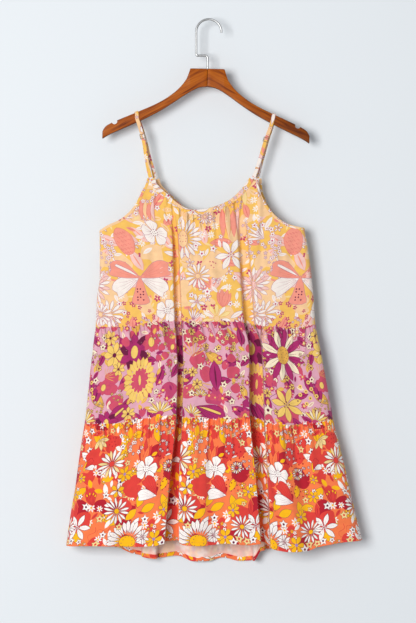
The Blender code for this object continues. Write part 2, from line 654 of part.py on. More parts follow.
def make_slider(side):
    """A small frame on the front strand: two bars before the strap and one behind it."""
    path = np.array(strand(side, "front"))[::-1]
    tall, bar, clear = SLIDER["half_tall"], SLIDER["bar"], SLIDER["clear"]
    middle, below = (
        Vector([float(np.interp(level, path[:, 2], path[:, axis])) for axis in range(3)])
        for level in (SLIDER_LEVEL[side], SLIDER_LEVEL[side] - 2 * tall)
    )
    down = below - middle
    turn = Matrix.Rotation(math.atan2(-down.x, -down.z), 4, "Y")
    to_world = Matrix.Scale(MM, 4) @ Matrix.Translation(middle) @ turn
    inner = STRAP["width"] / 2 + clear
    outer = inner + bar
    near = STRAP["thick"] / 2 + clear
    far = near + bar
    into_rail = inner + bar / 2
    skin = 0.1  # a bar's faces lie this far inside a rail's, so that they join cleanly
    boxes = {  # low corner, high corner: across, through, up
        "rail": ((-outer, -far, -tall), (-inner, far, tall)),
        "top_bar": ((-into_rail, skin - far, tall - bar), (into_rail, -near, tall - skin)),
        "bottom_bar": ((-into_rail, skin - far, skin - tall), (into_rail, -near, bar - tall)),
        "back_bar": ((-into_rail, near, -bar / 2), (into_rail, far - skin, bar / 2)),
        "other_rail": ((inner, -far, -tall), (outer, far, tall)),
    }
    meshes = {
        name: make_box(f"slider_{side}_{name}", *corners, to_world)
        for name, corners in boxes.items()
    }
    slider = add_object(f"slider_{side}", meshes.pop("rail"), "slider")
    for name, mesh in meshes.items():
        join = slider.modifiers.new(name, "BOOLEAN")
        join.operation = "UNION"
        join.object = add_helper(mesh.name, mesh)


clear_scene()
MATERIALS = {slot: make_material(slot) for slot in COLOURS}
make_hook()
make_hanger()
for panel_face in FACING:
    make_panels(panel_face)
make_bindings()
for strap_side in HAND:
    make_strap(strap_side)
    make_slider(strap_side)
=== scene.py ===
"""The looks of a three-tier cami sundress on its wooden hanger."""

import math

import bmesh
import bpy
import numpy as np
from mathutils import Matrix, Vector
from mathutils.geometry import delaunay_2d_cdt


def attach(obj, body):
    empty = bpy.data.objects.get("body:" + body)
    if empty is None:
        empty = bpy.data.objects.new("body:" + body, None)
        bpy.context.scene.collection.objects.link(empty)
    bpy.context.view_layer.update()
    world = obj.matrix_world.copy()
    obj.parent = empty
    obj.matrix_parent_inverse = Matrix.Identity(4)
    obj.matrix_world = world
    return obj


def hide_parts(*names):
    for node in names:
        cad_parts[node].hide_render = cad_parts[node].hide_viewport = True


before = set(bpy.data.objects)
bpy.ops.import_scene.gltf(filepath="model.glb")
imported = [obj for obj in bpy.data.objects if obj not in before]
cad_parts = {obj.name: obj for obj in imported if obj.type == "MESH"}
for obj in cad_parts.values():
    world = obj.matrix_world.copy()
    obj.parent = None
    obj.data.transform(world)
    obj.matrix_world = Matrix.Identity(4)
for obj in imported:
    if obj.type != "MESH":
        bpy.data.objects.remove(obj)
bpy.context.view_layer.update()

MM = 0.001
GAP = 0.1  # between pieces that are sewn or fitted together

# Hook of round wire, bent in the plane Y = 0.
WIRE = 4.5
HOOK_RADIUS = 25.3  # of the wire's centre line over the rail
HOOK_CRANK = -70.9  # level of the short run that brings the wire back over the stem
STEM_X = -2.6
STEM_IN_WOOD = 22.0
CRANK_BENDS = {"outer": 3.2, "inner": 4.6}  # bend radii of the wire's centre line

# Hanger: two mirrored wooden halves that butt at the stem.
WOOD_TOP = -97.8
WOOD = 12.0  # thickness
WOOD_EDGE = 1.8  # rounding of its edges
TILT = 1.35  # degrees that the right arm hangs below the left
NOTCH = {"out": 184.5, "drop": 110.5, "radius": 5.6}
UPPER_EDGE = (  # out from the seam, drop below the top
    (34.4, 0.0), (37.5, 10.0), (41.5, 21.0), (47.0, 29.5), (53.5, 37.5), (63.0, 47.0),
    (84.0, 62.8), (105.0, 74.7), (138.0, 89.8), (178.0, 107.5), (192.0, 114.3),
    (201.0, 119.8), (206.5, 127.0), (209.3, 136.0), (209.6, 145.2),
)
LOWER_EDGE = (
    (208.0, 145.4), (197.0, 138.4), (169.0, 125.0), (140.5, 111.5), (98.0, 89.4),
    (70.0, 71.6), (42.0, 52.2), (27.6, 43.4), (13.5, 37.4), (0.0, 36.0),
)

# Straps: flat bands from a front corner of the bodice, over a hanger arm, to a back corner.
STRAP = {"width": 7.8, "thick": 1.6}
STRAP_TOP = {"left": -145.5, "right": 131.3}  # where each crosses the wood's upper edge
STRAP_OFF_WOOD = 0.5
STRAND_END = 8.1  # how far off the seam plane a strand's centre line ends, at its corner
STRANDS = {  # x, level down each strand from under the arm to the corner
    ("left", "front"): ((-144.6, -196.0), (-139.0, -214.0), (-132.5, -235.7), (-125.2, -279.0),
                        (-120.6, -304.0), (-117.2, -316.8)),
    ("left", "back"): ((-143.6, -196.0), (-136.5, -214.0), (-129.5, -235.7), (-119.0, -279.0),
                       (-111.6, -304.0), (-109.0, -316.8)),
    ("right", "front"): ((129.4, -197.0), (124.6, -214.0), (116.6, -235.7), (104.6, -274.0),
                         (95.0, -304.0), (90.4, -316.8)),
    ("right", "back"): ((130.4, -197.0), (126.8, -214.0), (119.8, -235.7), (109.0, -274.0),
                        (101.2, -304.0), (98.2, -316.8)),
}

# Bodice edges, each from a strap corner: the finished edge of the binding.
NECK_EDGE = (
    (-108.6, -318.0), (-105.6, -328.0), (-95.4, -340.0), (-81.0, -352.6), (-68.4, -364.8),
    (-54.0, -374.8), (-41.0, -380.8), (-26.0, -382.6), (-12.0, -381.2), (10.0, -376.6),
    (29.0, -369.4), (44.5, -361.0), (57.5, -349.6), (72.2, -332.8), (82.4, -318.0),
)
ARM_EDGE = {
    "left": ((-123.2, -318.0), (-125.4, -328.0), (-133.0, -343.0), (-140.8, -359.0),
             (-148.0, -372.0), (-157.2, -384.0), (-166.0, -392.4), (-179.0, -402.2),
             (-203.0, -413.4), (-219.6, -424.0)),
    "right": ((98.0, -318.0), (99.2, -328.0), (102.8, -346.0), (109.0, -360.0),
              (123.0, -382.0), (136.4, -396.4), (156.0, -409.4), (174.6, -415.2),
              (192.0, -418.4)),
}
BACK_SHIFT = 8.0  # the back's corners sit this far to the right of the front's
BACK_DROP = 3.0  # and its neckline this much lower
NECK_CASING = 9.0  # widths of the bindings
ARM_BINDING = 4.6
APEX_LEVEL = -323.0  # top of the bodice panel, between the two bindings of a corner
UNDERARM_TURN = 24.0  # length over which an armhole binding turns in line with the side seam

SIDES = (  # level, left side seam, right side seam
    (-418.0, -219.6, 192.0), (-462.0, -219.5, 200.0), (-514.0, -219.5, 206.6),
    (-563.0, -225.4, 211.4), (-613.0, -227.6, 214.8), (-653.0, -233.6, 224.2),
    (-694.0, -238.0, 233.2), (-748.0, -243.0, 242.2), (-812.0, -250.2, 252.0),
    (-861.0, -258.4, 265.0), (-903.0, -264.0, 275.8), (-945.0, -269.6, 284.2),
    (-996.0, -279.4, 296.2), (-1056.0, -287.0, 311.4),
)
SEAM_1 = {  # x, level of the seam between the bodice and the middle tier
    "front": ((-228.0, -617.0), (-197.0, -617.6), (-148.0, -616.6), (-118.0, -607.4),
              (-58.0, -606.0), (57.0, -607.0), (113.0, -616.0), (170.0, -620.0), (215.0, -612.0)),
    "back": ((-228.0, -617.0), (-120.0, -613.0), (0.0, -616.0), (110.0, -611.0),
             (215.0, -612.0)),
}
SEAM_2 = {  # between the middle tier and the bottom one
    "front": ((-250.0, -811.0), (-217.0, -811.0), (-176.0, -809.0), (-143.0, -801.8),
              (-114.0, -797.8), (-64.0, -792.8), (-52.0, -797.6), (-22.0, -798.6),
              (35.0, -801.6), (80.0, -795.6), (116.0, -808.2), (156.0, -812.6),
              (200.0, -810.6), (246.0, -803.0)),
    "back": ((-250.0, -811.0), (-150.0, -816.0), (-40.0, -812.0), (80.0, -817.0),
             (170.0, -810.0), (246.0, -803.0)),
}
HEM = {
    "front": ((-287.0, -1056.0), (-258.0, -1054.4), (-221.0, -1054.0), (-162.0, -1055.0),
              (-131.0, -1054.0), (-106.0, -1052.0), (-90.0, -1048.0), (-62.0, -1046.0),
              (-49.0, -1050.6), (-17.0, -1052.4), (42.0, -1048.0), (78.0, -1050.6),
              (106.0, -1048.4), (121.0, -1055.6), (134.0, -1060.6), (166.0, -1065.0),
              (198.0, -1063.6), (217.0, -1057.0), (268.0, -1046.8), (311.0, -1044.0)),
    "back": ((-287.0, -1056.0), (-230.0, -1058.0), (-185.0, -1064.0), (-156.0, -1076.0),
             (-100.0, -1085.0), (-64.0, -1081.0), (-32.0, -1092.0), (0.0, -1091.0),
             (28.0, -1085.0), (64.0, -1092.0), (90.0, -1090.0), (107.0, -1068.0),
             (200.0, -1064.0), (311.0, -1044.0)),
}

# How far the cloth stands off the plane of the side seams, before its folds.
STAND_OFF = (  # level, near the sides, more at the middle in front, more at the middle behind
    (-315.0, 8.6, 0.0, 0.0), (-370.0, 9.6, 1.6, 1.0), (-420.0, 11.0, 3.0, 2.0),
    (-520.0, 12.0, 7.0, 4.0), (-612.0, 14.0, 10.0, 5.0), (-700.0, 17.0, 13.0, 6.0),
    (-812.0, 21.0, 16.0, 7.0), (-930.0, 25.0, 20.0, 8.0), (-1095.0, 28.0, 24.0, 9.0),
)
SIDE_ROUNDING = 0.8  # radius at a side seam, as a share of the stand-off there
SIDE_SLOPE = 50.0  # the slope that counts as square to the seam plane, at a side seam

FOLDS = {  # level, x of its middle, half its width, its depth, width of each wall
    "front": {
        "left_deep": (
            (-384.0, -73.0, 1.5, 0.0, 4.0), (-437.0, -66.8, 2.0, 4.5, 6.0),
            (-495.0, -65.0, 2.2, 7.0, 7.0), (-606.0, -61.0, 3.0, 10.0, 8.0),
            (-700.0, -56.5, 3.5, 17.0, 7.0), (-796.0, -59.0, 4.0, 22.0, 6.0),
            (-930.0, -69.0, 7.5, 31.0, 6.0), (-1050.0, -74.0, 12.5, 37.0, 6.0),
        ),
        "right_deep": (
            (-356.0, 57.0, 2.0, 0.0, 6.0), (-416.0, 67.0, 3.0, 3.5, 9.0),
            (-500.0, 74.0, 4.0, 6.0, 11.0), (-607.0, 82.0, 6.0, 10.0, 11.0),
            (-660.0, 94.0, 10.0, 19.0, 8.0), (-796.0, 97.0, 12.5, 24.0, 7.0),
            (-900.0, 105.0, 10.0, 31.0, 7.0), (-1050.0, 113.5, 7.0, 38.0, 7.0),
        ),
        "left_soft": (
            (-600.0, -150.0, 4.0, 0.0, 26.0), (-812.0, -160.0, 4.0, 4.0, 26.0),
            (-1055.0, -172.0, 5.0, 9.0, 30.0),
        ),
        "middle_soft": (
            (-600.0, 10.0, 3.0, 0.0, 26.0), (-812.0, 14.0, 4.0, 5.0, 28.0),
            (-1055.0, 20.0, 5.0, 10.0, 30.0),
        ),
        "right_soft": (
            (-600.0, 160.0, 3.0, 0.0, 26.0), (-812.0, 176.0, 4.0, 5.0, 26.0),
            (-1055.0, 212.0, 6.0, 11.0, 30.0),
        ),
    },
    "back": {
        "left_deep": (
            (-420.0, -96.0, 2.0, 0.0, 10.0), (-612.0, -104.0, 3.0, 5.0, 12.0),
            (-812.0, -112.0, 6.0, 13.0, 14.0), (-1080.0, -120.0, 10.0, 22.0, 16.0),
        ),
        "right_deep": (
            (-420.0, 62.0, 2.0, 0.0, 10.0), (-612.0, 78.0, 3.0, 5.0, 12.0),
            (-812.0, 92.0, 6.0, 13.0, 14.0), (-1080.0, 102.0, 8.0, 22.0, 12.0),
        ),
        "middle_soft": (
            (-612.0, -8.0, 4.0, 0.0, 26.0), (-812.0, -10.0, 4.0, 5.0, 26.0),
            (-1080.0, -14.0, 6.0, 10.0, 30.0),
        ),
    },
}
DEEP_FOLDS = ("left_deep", "right_deep")
SHOWN_FOLDS = (  # level, the deep folds' walls and depth as shares of the solid's
    (-300.0, 1.1, 2.6), (-420.0, 1.1, 3.2), (-540.0, 1.0, 2.6), (-608.0, 0.8, 2.3),
    (-680.0, 0.62, 1.6), (-800.0, 0.6, 1.35), (-930.0, 0.6, 1.25), (-1095.0, 0.62, 1.2),
)

FACING = {"front": -1.0, "back": 1.0}
HAND = {"left": -1.0, "right": 1.0}


def cubic(t, step, start, end, leaving, arriving):
    """A cubic from start to end, t of the way along its step, with a slope at each end."""
    return (
        (2 * t**3 - 3 * t**2 + 1) * start
        + (t**3 - 2 * t**2 + t) * step * leaving
        + (3 * t**2 - 2 * t**3) * end
        + (t**3 - t**2) * step * arriving
    )


def soft_curve(table, column, at):
    """The column of a table at the places `at` of its first column, with no overshoot."""
    rows = np.array(sorted(table), float)
    x, y = rows[:, 0], rows[:, column]
    slope = np.diff(y) / np.diff(x)
    both = slope[:-1] * slope[1:]
    inner = np.where(both > 0, 2 * both / np.where(both > 0, slope[:-1] + slope[1:], 1), 0)
    tangent = np.concatenate([slope[:1], inner, slope[-1:]])
    at = np.clip(np.asarray(at, float), x[0], x[-1])
    k = np.clip(np.searchsorted(x, at, side="right") - 1, 0, len(x) - 2)
    step = x[k + 1] - x[k]
    return cubic((at - x[k]) / step, step, y[k], y[k + 1], tangent[k], tangent[k + 1])


def run_of(points):
    """The run along a path, from its first point to each of its points."""
    return np.concatenate([[0], np.cumsum(np.linalg.norm(np.diff(points, axis=0), axis=1))])


def along_run(at, run, table):
    """The rows of a table at runs along its path."""
    return np.stack([np.interp(at, run, table[:, k]) for k in range(table.shape[1])], 1)


def unit(ways):
    return ways / np.maximum(np.linalg.norm(ways, axis=-1, keepdims=True), 1e-9)


def smooth_path(points, spacing):
    """Even points, about `spacing` apart, on a smooth curve through the given ones."""
    points = np.array(points, float)
    run = run_of(points)
    tangent = np.gradient(points, run, axis=0)
    at = np.linspace(0, run[-1], max(2, round(run[-1] / spacing)) + 1)
    k = np.clip(np.searchsorted(run, at, side="right") - 1, 0, len(run) - 2)
    step = (run[k + 1] - run[k])[:, None]
    t = (at - run[k])[:, None] / step
    return cubic(t, step, points[k], points[k + 1], tangent[k], tangent[k + 1])


def hanger_place(out, drop, hand):
    """World X and Z, in millimetres, of a place on a hanger half."""
    angle = -math.radians(TILT)
    x, z = hand * out, -drop
    return (
        STEM_X + x * math.cos(angle) - z * math.sin(angle),
        WOOD_TOP + x * math.sin(angle) + z * math.cos(angle),
    )


# The cloth's form


def side_seams(level):
    return soft_curve(SIDES, 1, level), soft_curve(SIDES, 2, level)


def fold_depth(face, x, level):
    """How far the folds take the cloth back towards the middle of the tube."""
    total = np.zeros_like(x)
    for name, rows in FOLDS[face].items():
        middle, half, depth, wall = (soft_curve(rows, c, level) for c in (1, 2, 3, 4))
        if name in DEEP_FOLDS:
            wall = wall * soft_curve(SHOWN_FOLDS, 1, level)
            depth = np.maximum(depth * soft_curve(SHOWN_FOLDS, 2, level), 1e-3)
            total += depth * steep_wall(np.clip((np.abs(x - middle) - half) / wall, 0, 1), wall / depth)
        else:
            away = np.clip((np.abs(x - middle) - half) / wall, 0, 1)
            total += depth * 0.5 * (1 + np.cos(np.pi * away))
    return total


def steep_wall(share, slim):
    """A fold's depth, 1 down to 0 over its wall: a steep slope with round edges. slim is the
    wall's width as a share of its depth."""
    arc = 0.42  # the share of the wall that each round edge takes
    high = np.minimum(arc * slim, 0.46)
    from_edge = np.minimum(share, 1 - share)
    bent = high * (1 - np.sqrt(np.clip(1 - (from_edge / arc) ** 2, 0, 1)))
    straight = high + (0.5 - high) * (from_edge - arc) / (0.5 - arc)
    drop = np.where(from_edge < arc, bent, straight)
    return np.where(share < 0.5, 1 - drop, drop)


def cloth_y(face, x, level):
    """Y of a panel's outer face, at x and level."""
    x, level = np.asarray(x, float), np.asarray(level, float)
    left, right = side_seams(level)
    near_side = soft_curve(STAND_OFF, 1, level)
    at_middle = soft_curve(STAND_OFF, 2 if face == "front" else 3, level)
    from_side = np.clip(np.minimum(x - left, right - x), 0, None)
    rounding = 1 - np.clip(from_side / (SIDE_ROUNDING * near_side), 0, 1)
    across = np.clip((2 * x - left - right) / (right - left), -1, 1)
    stand = near_side + at_middle * (1 - across**2) - fold_depth(face, x, level)
    return FACING[face] * (GAP / 2 + stand * np.sqrt(1 - rounding**2))


def cloth_normal(face, x, level):
    """Unit normals of a panel's outer face, pointing out of the dress."""
    left, right = side_seams(level)
    step = 0.05  # a short way along the cloth, either side of each place
    low, high = np.maximum(x - step, left), np.minimum(x + step, right)
    along_x = (cloth_y(face, high, level) - cloth_y(face, low, level)) / (high - low)
    along_z = (cloth_y(face, x, level + step) - cloth_y(face, x, level - step)) / (2 * step)
    at_side = np.minimum(x - left, right - x) < step
    along_z = np.where(at_side, 0, along_z)
    along_x = np.where(at_side, np.sign(along_x) * SIDE_SLOPE, along_x)
    normal = np.stack([-along_x, np.ones_like(x), -along_z], -1) * FACING[face]
    return unit(normal)


def finished_edges(face):
    """Each finished edge of the bodice as (path, directions into the cloth, run along it)."""
    tables = {"neck": NECK_EDGE, **ARM_EDGE}
    edges = {}
    for name, table in tables.items():
        path = np.array(table, float)
        if face == "back" and name == "neck":
            path[:, 0] += BACK_SHIFT
            path[:, 1] -= BACK_DROP * np.sin(np.linspace(0, np.pi, len(path)))
        elif face == "back":
            path[:, 0] += BACK_SHIFT * (path[:, 1] - path[-1, 1]) / (path[0, 1] - path[-1, 1])
        path = smooth_path(path, 2.0)
        direction = np.gradient(path, axis=0)
        inward = np.stack([direction[:, 1], -direction[:, 0]], 1)
        inward *= -np.sign(inward[len(inward) // 2, 1])
        inward = unit(inward)
        if name != "neck":  # at the underarm the binding turns down, along the side seam
            column = 1 if name == "left" else 2
            below = 5.0  # a short way down the seam
            path[-1, 0], lower = soft_curve(SIDES, column, path[-1, 1] - np.array([0.0, below]))
            down = np.array([lower - path[-1, 0], -below])
            from_end = np.linalg.norm(path - path[-1], axis=1)
            turn = np.clip(1 - from_end / UNDERARM_TURN, 0, 1)[:, None]
            inward = unit(inward * (1 - turn) + unit(down) * turn)
        edges[name] = (path, inward, run_of(path))
    return edges


def on_edge(edge, runs, inside=0.0):
    """X and level of places along an edge, `inside` it by a distance."""
    path, inward, run = edge
    return along_run(runs, run, path + inside * inward)


def over_the_arm(side):
    """A strap's centre line over the wood, front to back, and the way its width lies there."""
    hand, x = HAND[side], STRAP_TOP[side]
    out = np.arange(100.0, 180.0, 0.5)  # the stretch of the arm where the straps lie
    wood = np.array([hanger_place(o, d, hand) for o, d in zip(out, soft_curve(UPPER_EDGE, 1, out))])
    near = np.argmin(np.abs(wood[:, 0] - x))
    slope = np.gradient(wood, axis=0)[near]
    slope *= np.sign(slope[0]) / np.linalg.norm(slope)
    up = np.array([-slope[1], slope[0]])
    off = STRAP["thick"] / 2 + STRAP_OFF_WOOD
    front = -WOOD / 2 - off
    bend = WOOD_EDGE + off
    rows = []
    for angle in (0, 30, 60, 90):
        a = math.radians(angle)
        rows.append((front + bend * (1 - math.cos(a)), bend * math.sin(a) - WOOD_EDGE))
    rows += [(-y, rise) for y, rise in reversed(rows)]
    return [((x + up[0] * rise, y, wood[near, 1] + up[1] * rise), slope) for y, rise in rows]


def strand(side, face):
    """A strand's centre line from under the arm to its corner."""
    rows = smooth_path(STRANDS[side, face], 12.0)
    start = WOOD / 2 + STRAP["thick"] / 2 + STRAP_OFF_WOOD
    y = FACING[face] * np.linspace(start, STRAND_END, len(rows))
    return [(x, depth, z) for (x, z), depth in zip(rows, y)]


# The print: shapes are drawn in millimetres, X to the right and Y up, and laid on the flat cloth

LINE = 0.8  # width of the fine drawn line round a shape
UNEVEN = (0.0, 0.7, -0.5, 0.3, -0.9, 0.5, -0.2, 0.9, -0.6)  # steps that keep petals from being alike

INKS = {  # red, green, blue, 0 to 255
    "gold_ground": (242, 190, 94), "peach": (244, 200, 150), "straw": (243, 213, 146),
    "coral": (240, 150, 130), "deep_coral": (220, 112, 106), "blush": (241, 196, 186),
    "soft_white": (242, 231, 222), "lilac_line": (186, 126, 142), "berry": (192, 68, 108),
    "pink_ground": (222, 164, 180), "magenta": (170, 42, 104), "plum": (106, 22, 62),
    "rose": (206, 78, 102), "butter": (240, 200, 106), "ochre": (226, 172, 78),
    "cream": (242, 224, 194), "orange_ground": (248, 124, 72), "red": (222, 64, 56),
    "deep_red": (180, 26, 44), "sun": (250, 184, 14), "white": (250, 242, 236),
    "shade_line": (116, 46, 64), "bark_line": (146, 94, 70), "violet": (170, 130, 190),
    "wrong_side": (255, 226, 214),
}
INK_ORDER = {name: index for index, name in enumerate(INKS)}


def drawn_in(outline, width):
    """A closed outline moved inwards by a width, or shrunk if it is too slim for that."""
    area = 0.5 * float(np.sum(outline[:, 0] * np.roll(outline[:, 1], -1)
                              - outline[:, 1] * np.roll(outline[:, 0], -1)))
    along = unit(np.roll(outline, -1, 0) - np.roll(outline, 1, 0))
    inward = np.stack([-along[:, 1], along[:, 0]], 1) * np.sign(area)
    around = np.linalg.norm(outline - np.roll(outline, 1, 0), axis=1).sum()
    if abs(area) < 1.6 * width * around:
        middle = outline.mean(0)
        return middle + (outline - middle) * 0.62
    return outline + inward * width


def outlined(outline, ink, line=None):
    if line is None:
        return [(outline, ink)]
    return [(outline, line), (drawn_in(outline, LINE), ink)]


def turned(points, angle):
    """Turned clockwise by an angle in degrees."""
    a = math.radians(angle)
    return points @ np.array([[math.cos(a), -math.sin(a)], [math.sin(a), math.cos(a)]])


def petal(long, wide, belly=1.3, blunt=0.75, steps=6, start=0.0):
    """A petal that points up: belly sets how near its tip it is widest, blunt how full its ends."""
    t = np.linspace(0, 1, steps)
    half = wide / 2 * np.maximum(np.sin(np.pi * t**belly), 0) ** blunt
    half[0] = half[-1] = 0.0
    y = start + t * long
    return np.concatenate([np.stack([half, y], 1), np.stack([-half, y], 1)[-2:0:-1]])


def oval(wide, tall, steps=10):
    a = np.linspace(0, 2 * np.pi, steps, endpoint=False)
    return np.stack([wide / 2 * np.sin(a), tall / 2 * np.cos(a)], 1)


def stroke(points, width):
    """A line that thins out towards its end."""
    points = np.array(points, float)
    along = unit(np.gradient(points, axis=0))
    side = np.stack([-along[:, 1], along[:, 0]], 1)
    side *= (width / 2 * np.linspace(1, 0.25, len(points)))[:, None]
    return np.concatenate([points + side, (points - side)[::-1]])


def rounded(corners, steps=3):
    """A closed smooth outline through a few corners."""
    p = np.array(corners, float)
    before, after, beyond = np.roll(p, 1, 0), np.roll(p, -1, 0), np.roll(p, -2, 0)
    parts = []
    for t in np.linspace(0, 1, steps, endpoint=False):
        parts.append(0.5 * (2 * p + (after - before) * t
                            + (2 * before - 5 * p + 4 * after - beyond) * t**2
                            + (3 * p - before - 3 * after + beyond) * t**3))
    return np.stack(parts, 1).reshape(-1, 2)


def specks(places, size, ink):
    return [(oval(size, size, 5) + place, ink) for place in places]


def ring(count, radius, start=0.0):
    return [turned(np.array([[0.0, radius * (1 + 0.15 * UNEVEN[k % 9])]]), start + 360 * k / count)[0]
            for k in range(count)]


def spiral(k, radius, start=0.0):
    """The place of the k-th of a few shapes that fill a round patch evenly."""
    return turned(np.array([[0.0, radius]]), 137.5 * k + start)[0]


def petals(count, long, wide, inks, line, start=0.0, spread=360.0, inner=0.0, belly=1.3, blunt=0.75,
           steps=6, veins=0, vein="lilac_line"):
    """Petals round a middle, each a little different, their inks taken in turn."""
    shapes = []
    for k in range(count):
        angle = start + spread * k / count + 0.12 * spread / count * UNEVEN[k % 9]
        reach = long * (1 + 0.07 * UNEVEN[(2 * k + 3) % 9])
        one = outlined(petal(reach, wide, belly, blunt, steps, inner), inks[k % len(inks)], line)
        for n in range(veins):
            lean = (n - (veins - 1) / 2) * wide * 0.22
            line_up = [(lean * 0.3, inner + reach * 0.12), (lean, inner + reach * 0.72)]
            one.append((stroke(line_up, 0.6), vein))
        shapes += [(turned(outline, angle), ink) for outline, ink in one]
    return shapes


def daisy(size, inks=("soft_white",), line="lilac_line", middle="peach", count=13, thin=0.24):
    shapes = petals(count, size * 0.86, size * thin, inks, line, inner=size * 0.12, belly=1.6)
    return shapes + outlined(oval(size * 0.42, size * 0.42), middle, line)


def anemone(size, ink="soft_white", line="lilac_line", dots="plum", count=5, middle=None):
    shapes = petals(count, size, size * 4.3 / count, (ink,), line, belly=1.9, blunt=0.55, steps=7, veins=2,
                    vein=line)
    shapes.append((oval(size * 0.5, size * 0.5), ink))
    if middle:
        shapes.append((oval(size * 0.4, size * 0.4), middle))
    shapes += specks(ring(9, size * 0.25), size * 0.075, dots)
    return shapes + specks(ring(4, size * 0.1, 20), size * 0.075, dots)


def lily(size, ink="soft_white", line="lilac_line", dots="berry", count=6, vein="lilac_line"):
    shapes = petals(count, size, size * 0.4, (ink,), line, start=12, belly=1.25, blunt=0.9, veins=1,
                    vein=vein)
    return shapes + specks(ring(5, size * 0.16), size * 0.09, dots)


def blossom(size, ink="soft_white", line="lilac_line", middle="berry", lobes=5):
    a = np.linspace(0, 2 * np.pi, lobes * 3, endpoint=False)
    radius = size * (0.74 + 0.26 * np.cos(lobes * a))
    outline = np.stack([radius * np.sin(a), radius * np.cos(a)], 1)
    return outlined(outline, ink, line) + [(oval(size * 0.5, size * 0.5, 6), middle)]


def sprig(size, inks=("soft_white",), line="lilac_line", middle="berry", count=7):
    """Small blossoms scattered round a middle."""
    shapes = []
    for k in range(count):
        place = spiral(k, size * (0.35 + 0.65 * ((k * 5) % count) / count))
        one = blossom(size * (0.27 + 0.05 * UNEVEN[k % 9]), inks[k % len(inks)], line, middle)
        shapes += [(turned(outline, 40 * k) + place, ink) for outline, ink in one]
    return shapes


def bud(size, ink="coral", line="deep_coral", scale="deep_coral"):
    """A scaly bud, as of an artichoke."""
    shapes = outlined(rounded([(0, size), (size * 0.55, size * 0.62), (size * 0.68, 0),
                               (size * 0.42, -size * 0.8), (0, -size), (-size * 0.42, -size * 0.8),
                               (-size * 0.68, 0), (-size * 0.55, size * 0.62)]), ink, line)
    for row in range(6):
        y = size * (0.66 - 0.28 * row)
        across = 0.56 * size * math.sqrt(max(0.05, 1 - (y / size) ** 2))
        for k in range(4 - row % 2):
            x = across * (k - (3 - row % 2) / 2) / 2
            scallop = [(x - size * 0.1, y), (x, y - size * 0.15), (x + size * 0.1, y)]
            shapes.append((stroke(scallop, size * 0.05), scale))
    return shapes


WING = ((0, 0), (0.22, 0.17), (0.52, 0.36), (0.82, 0.36), (1.0, 0.2), (0.93, 0.02), (0.97, -0.14),
        (0.72, -0.16), (0.4, -0.12), (0.16, -0.06))


def wing(size, ink, line, vein, stripe=None, hand=1):
    """A broad ruffled petal that reaches out to one side."""
    flip = np.array([hand, 1.0]) * size
    shapes = outlined(rounded(WING, 2) * flip, ink, line)
    for k in range(5):
        end = np.array([(0.5, 0.3), (0.78, 0.3), (0.88, 0.16), (0.84, 0.0), (0.62, -0.1)][k])
        shapes.append((stroke([end * 0.18 * flip, end * (0.6, 0.5) * flip, end * flip], 0.6), vein))
    if stripe:
        band = [(0.08, 0.03), (0.3, 0.14), (0.55, 0.2), (0.8, 0.24), (0.82, 0.16), (0.55, 0.1), (0.3, 0.05)]
        shapes += outlined(rounded(band, 2) * flip, stripe, line)
    return shapes


def orchid(size, upper="coral", lower="soft_white", line="lilac_line", dots="plum"):
    shapes = []
    for hand in (-1, 1):
        for ink, angle, reach in ((lower, 34, 0.95), (upper, -14, 1.0)):
            one = wing(size * reach, ink, line, line if ink == lower else "deep_coral",
                       "soft_white" if ink == upper and hand < 0 else None, hand)
            shapes += [(turned(outline, hand * angle), part) for outline, part in one]
    throat = rounded([(0, size * 0.08), (size * 0.2, -size * 0.5), (size * 0.28, -size * 0.78),
                      (0, -size * 0.86), (-size * 0.28, -size * 0.78), (-size * 0.2, -size * 0.5)], 2)
    shapes += outlined(throat, upper, line)
    places = [(size * 0.09 * ((k % 3) - 1), -size * (0.36 + 0.085 * (k // 2))) for k in range(10)]
    return shapes + specks(places, size * 0.055, dots)


def tulip(size, ink="coral", line="deep_coral", tips=None, vein="deep_coral"):
    """A cup of pointed petals on its stem."""
    shapes = [(stroke([(0, -size), (size * 0.03, -size * 0.4), (0, 0)], 1.1), line)]
    for angle, reach in ((-24, 1.35), (24, 1.35), (-9, 1.5), (10, 1.5)):
        one = outlined(petal(size * reach, size * 0.5, 0.95, 0.8, 7, 0), ink, line)
        one.append((stroke([(0, size * 0.1), (0, size * reach * 0.8)], 0.6), vein))
        if tips:
            one += outlined(petal(size * 0.42, size * 0.26, 0.9, 0.8, 5, size * reach * 0.72), tips, line)
        shapes += [(turned(outline, angle) - (0, size * 0.8), part) for outline, part in one]
    return shapes


def mum(size, inks=("soft_white", "blush"), line="lilac_line", middle="blush"):
    shapes = petals(18, size * 0.72, size * 0.2, inks, line, inner=size * 0.28, belly=1.5, steps=5)
    shapes += petals(13, size * 0.5, size * 0.17, inks[::-1], line, start=9, inner=size * 0.16, steps=5)
    shapes += outlined(oval(size * 0.44, size * 0.5), middle, line)
    return shapes + specks(ring(7, size * 0.13), size * 0.05, "deep_coral")


def fan(size, ink="white", line="shade_line", middle="sun", count=13, spread=200, thin=0.24):
    shapes = petals(count, size * 0.66, size * thin, (ink,), line, start=-spread / 2, spread=spread,
                    inner=size * 0.36, belly=1.6, veins=1)
    shapes += outlined(oval(size * 0.86, size * 0.62, 14), middle, line)
    return shapes + specks(ring(10, size * 0.26), size * 0.05, "bark_line")


def star(size, ink="berry", middle="straw"):
    return petals(5, size, size * 0.6, (ink,), None, steps=4) + [(oval(size * 0.5, size * 0.5, 5), middle)]


def stars(size, ink="berry", middle="straw", count=6):
    shapes = []
    for k in range(count):
        place = spiral(k, size * (0.3 + 0.7 * ((k * 5) % count) / count), 30)
        one = star(size * 0.2, ink, middle)
        shapes += [(turned(outline, 31 * k) + place, part) for outline, part in one]
    return shapes


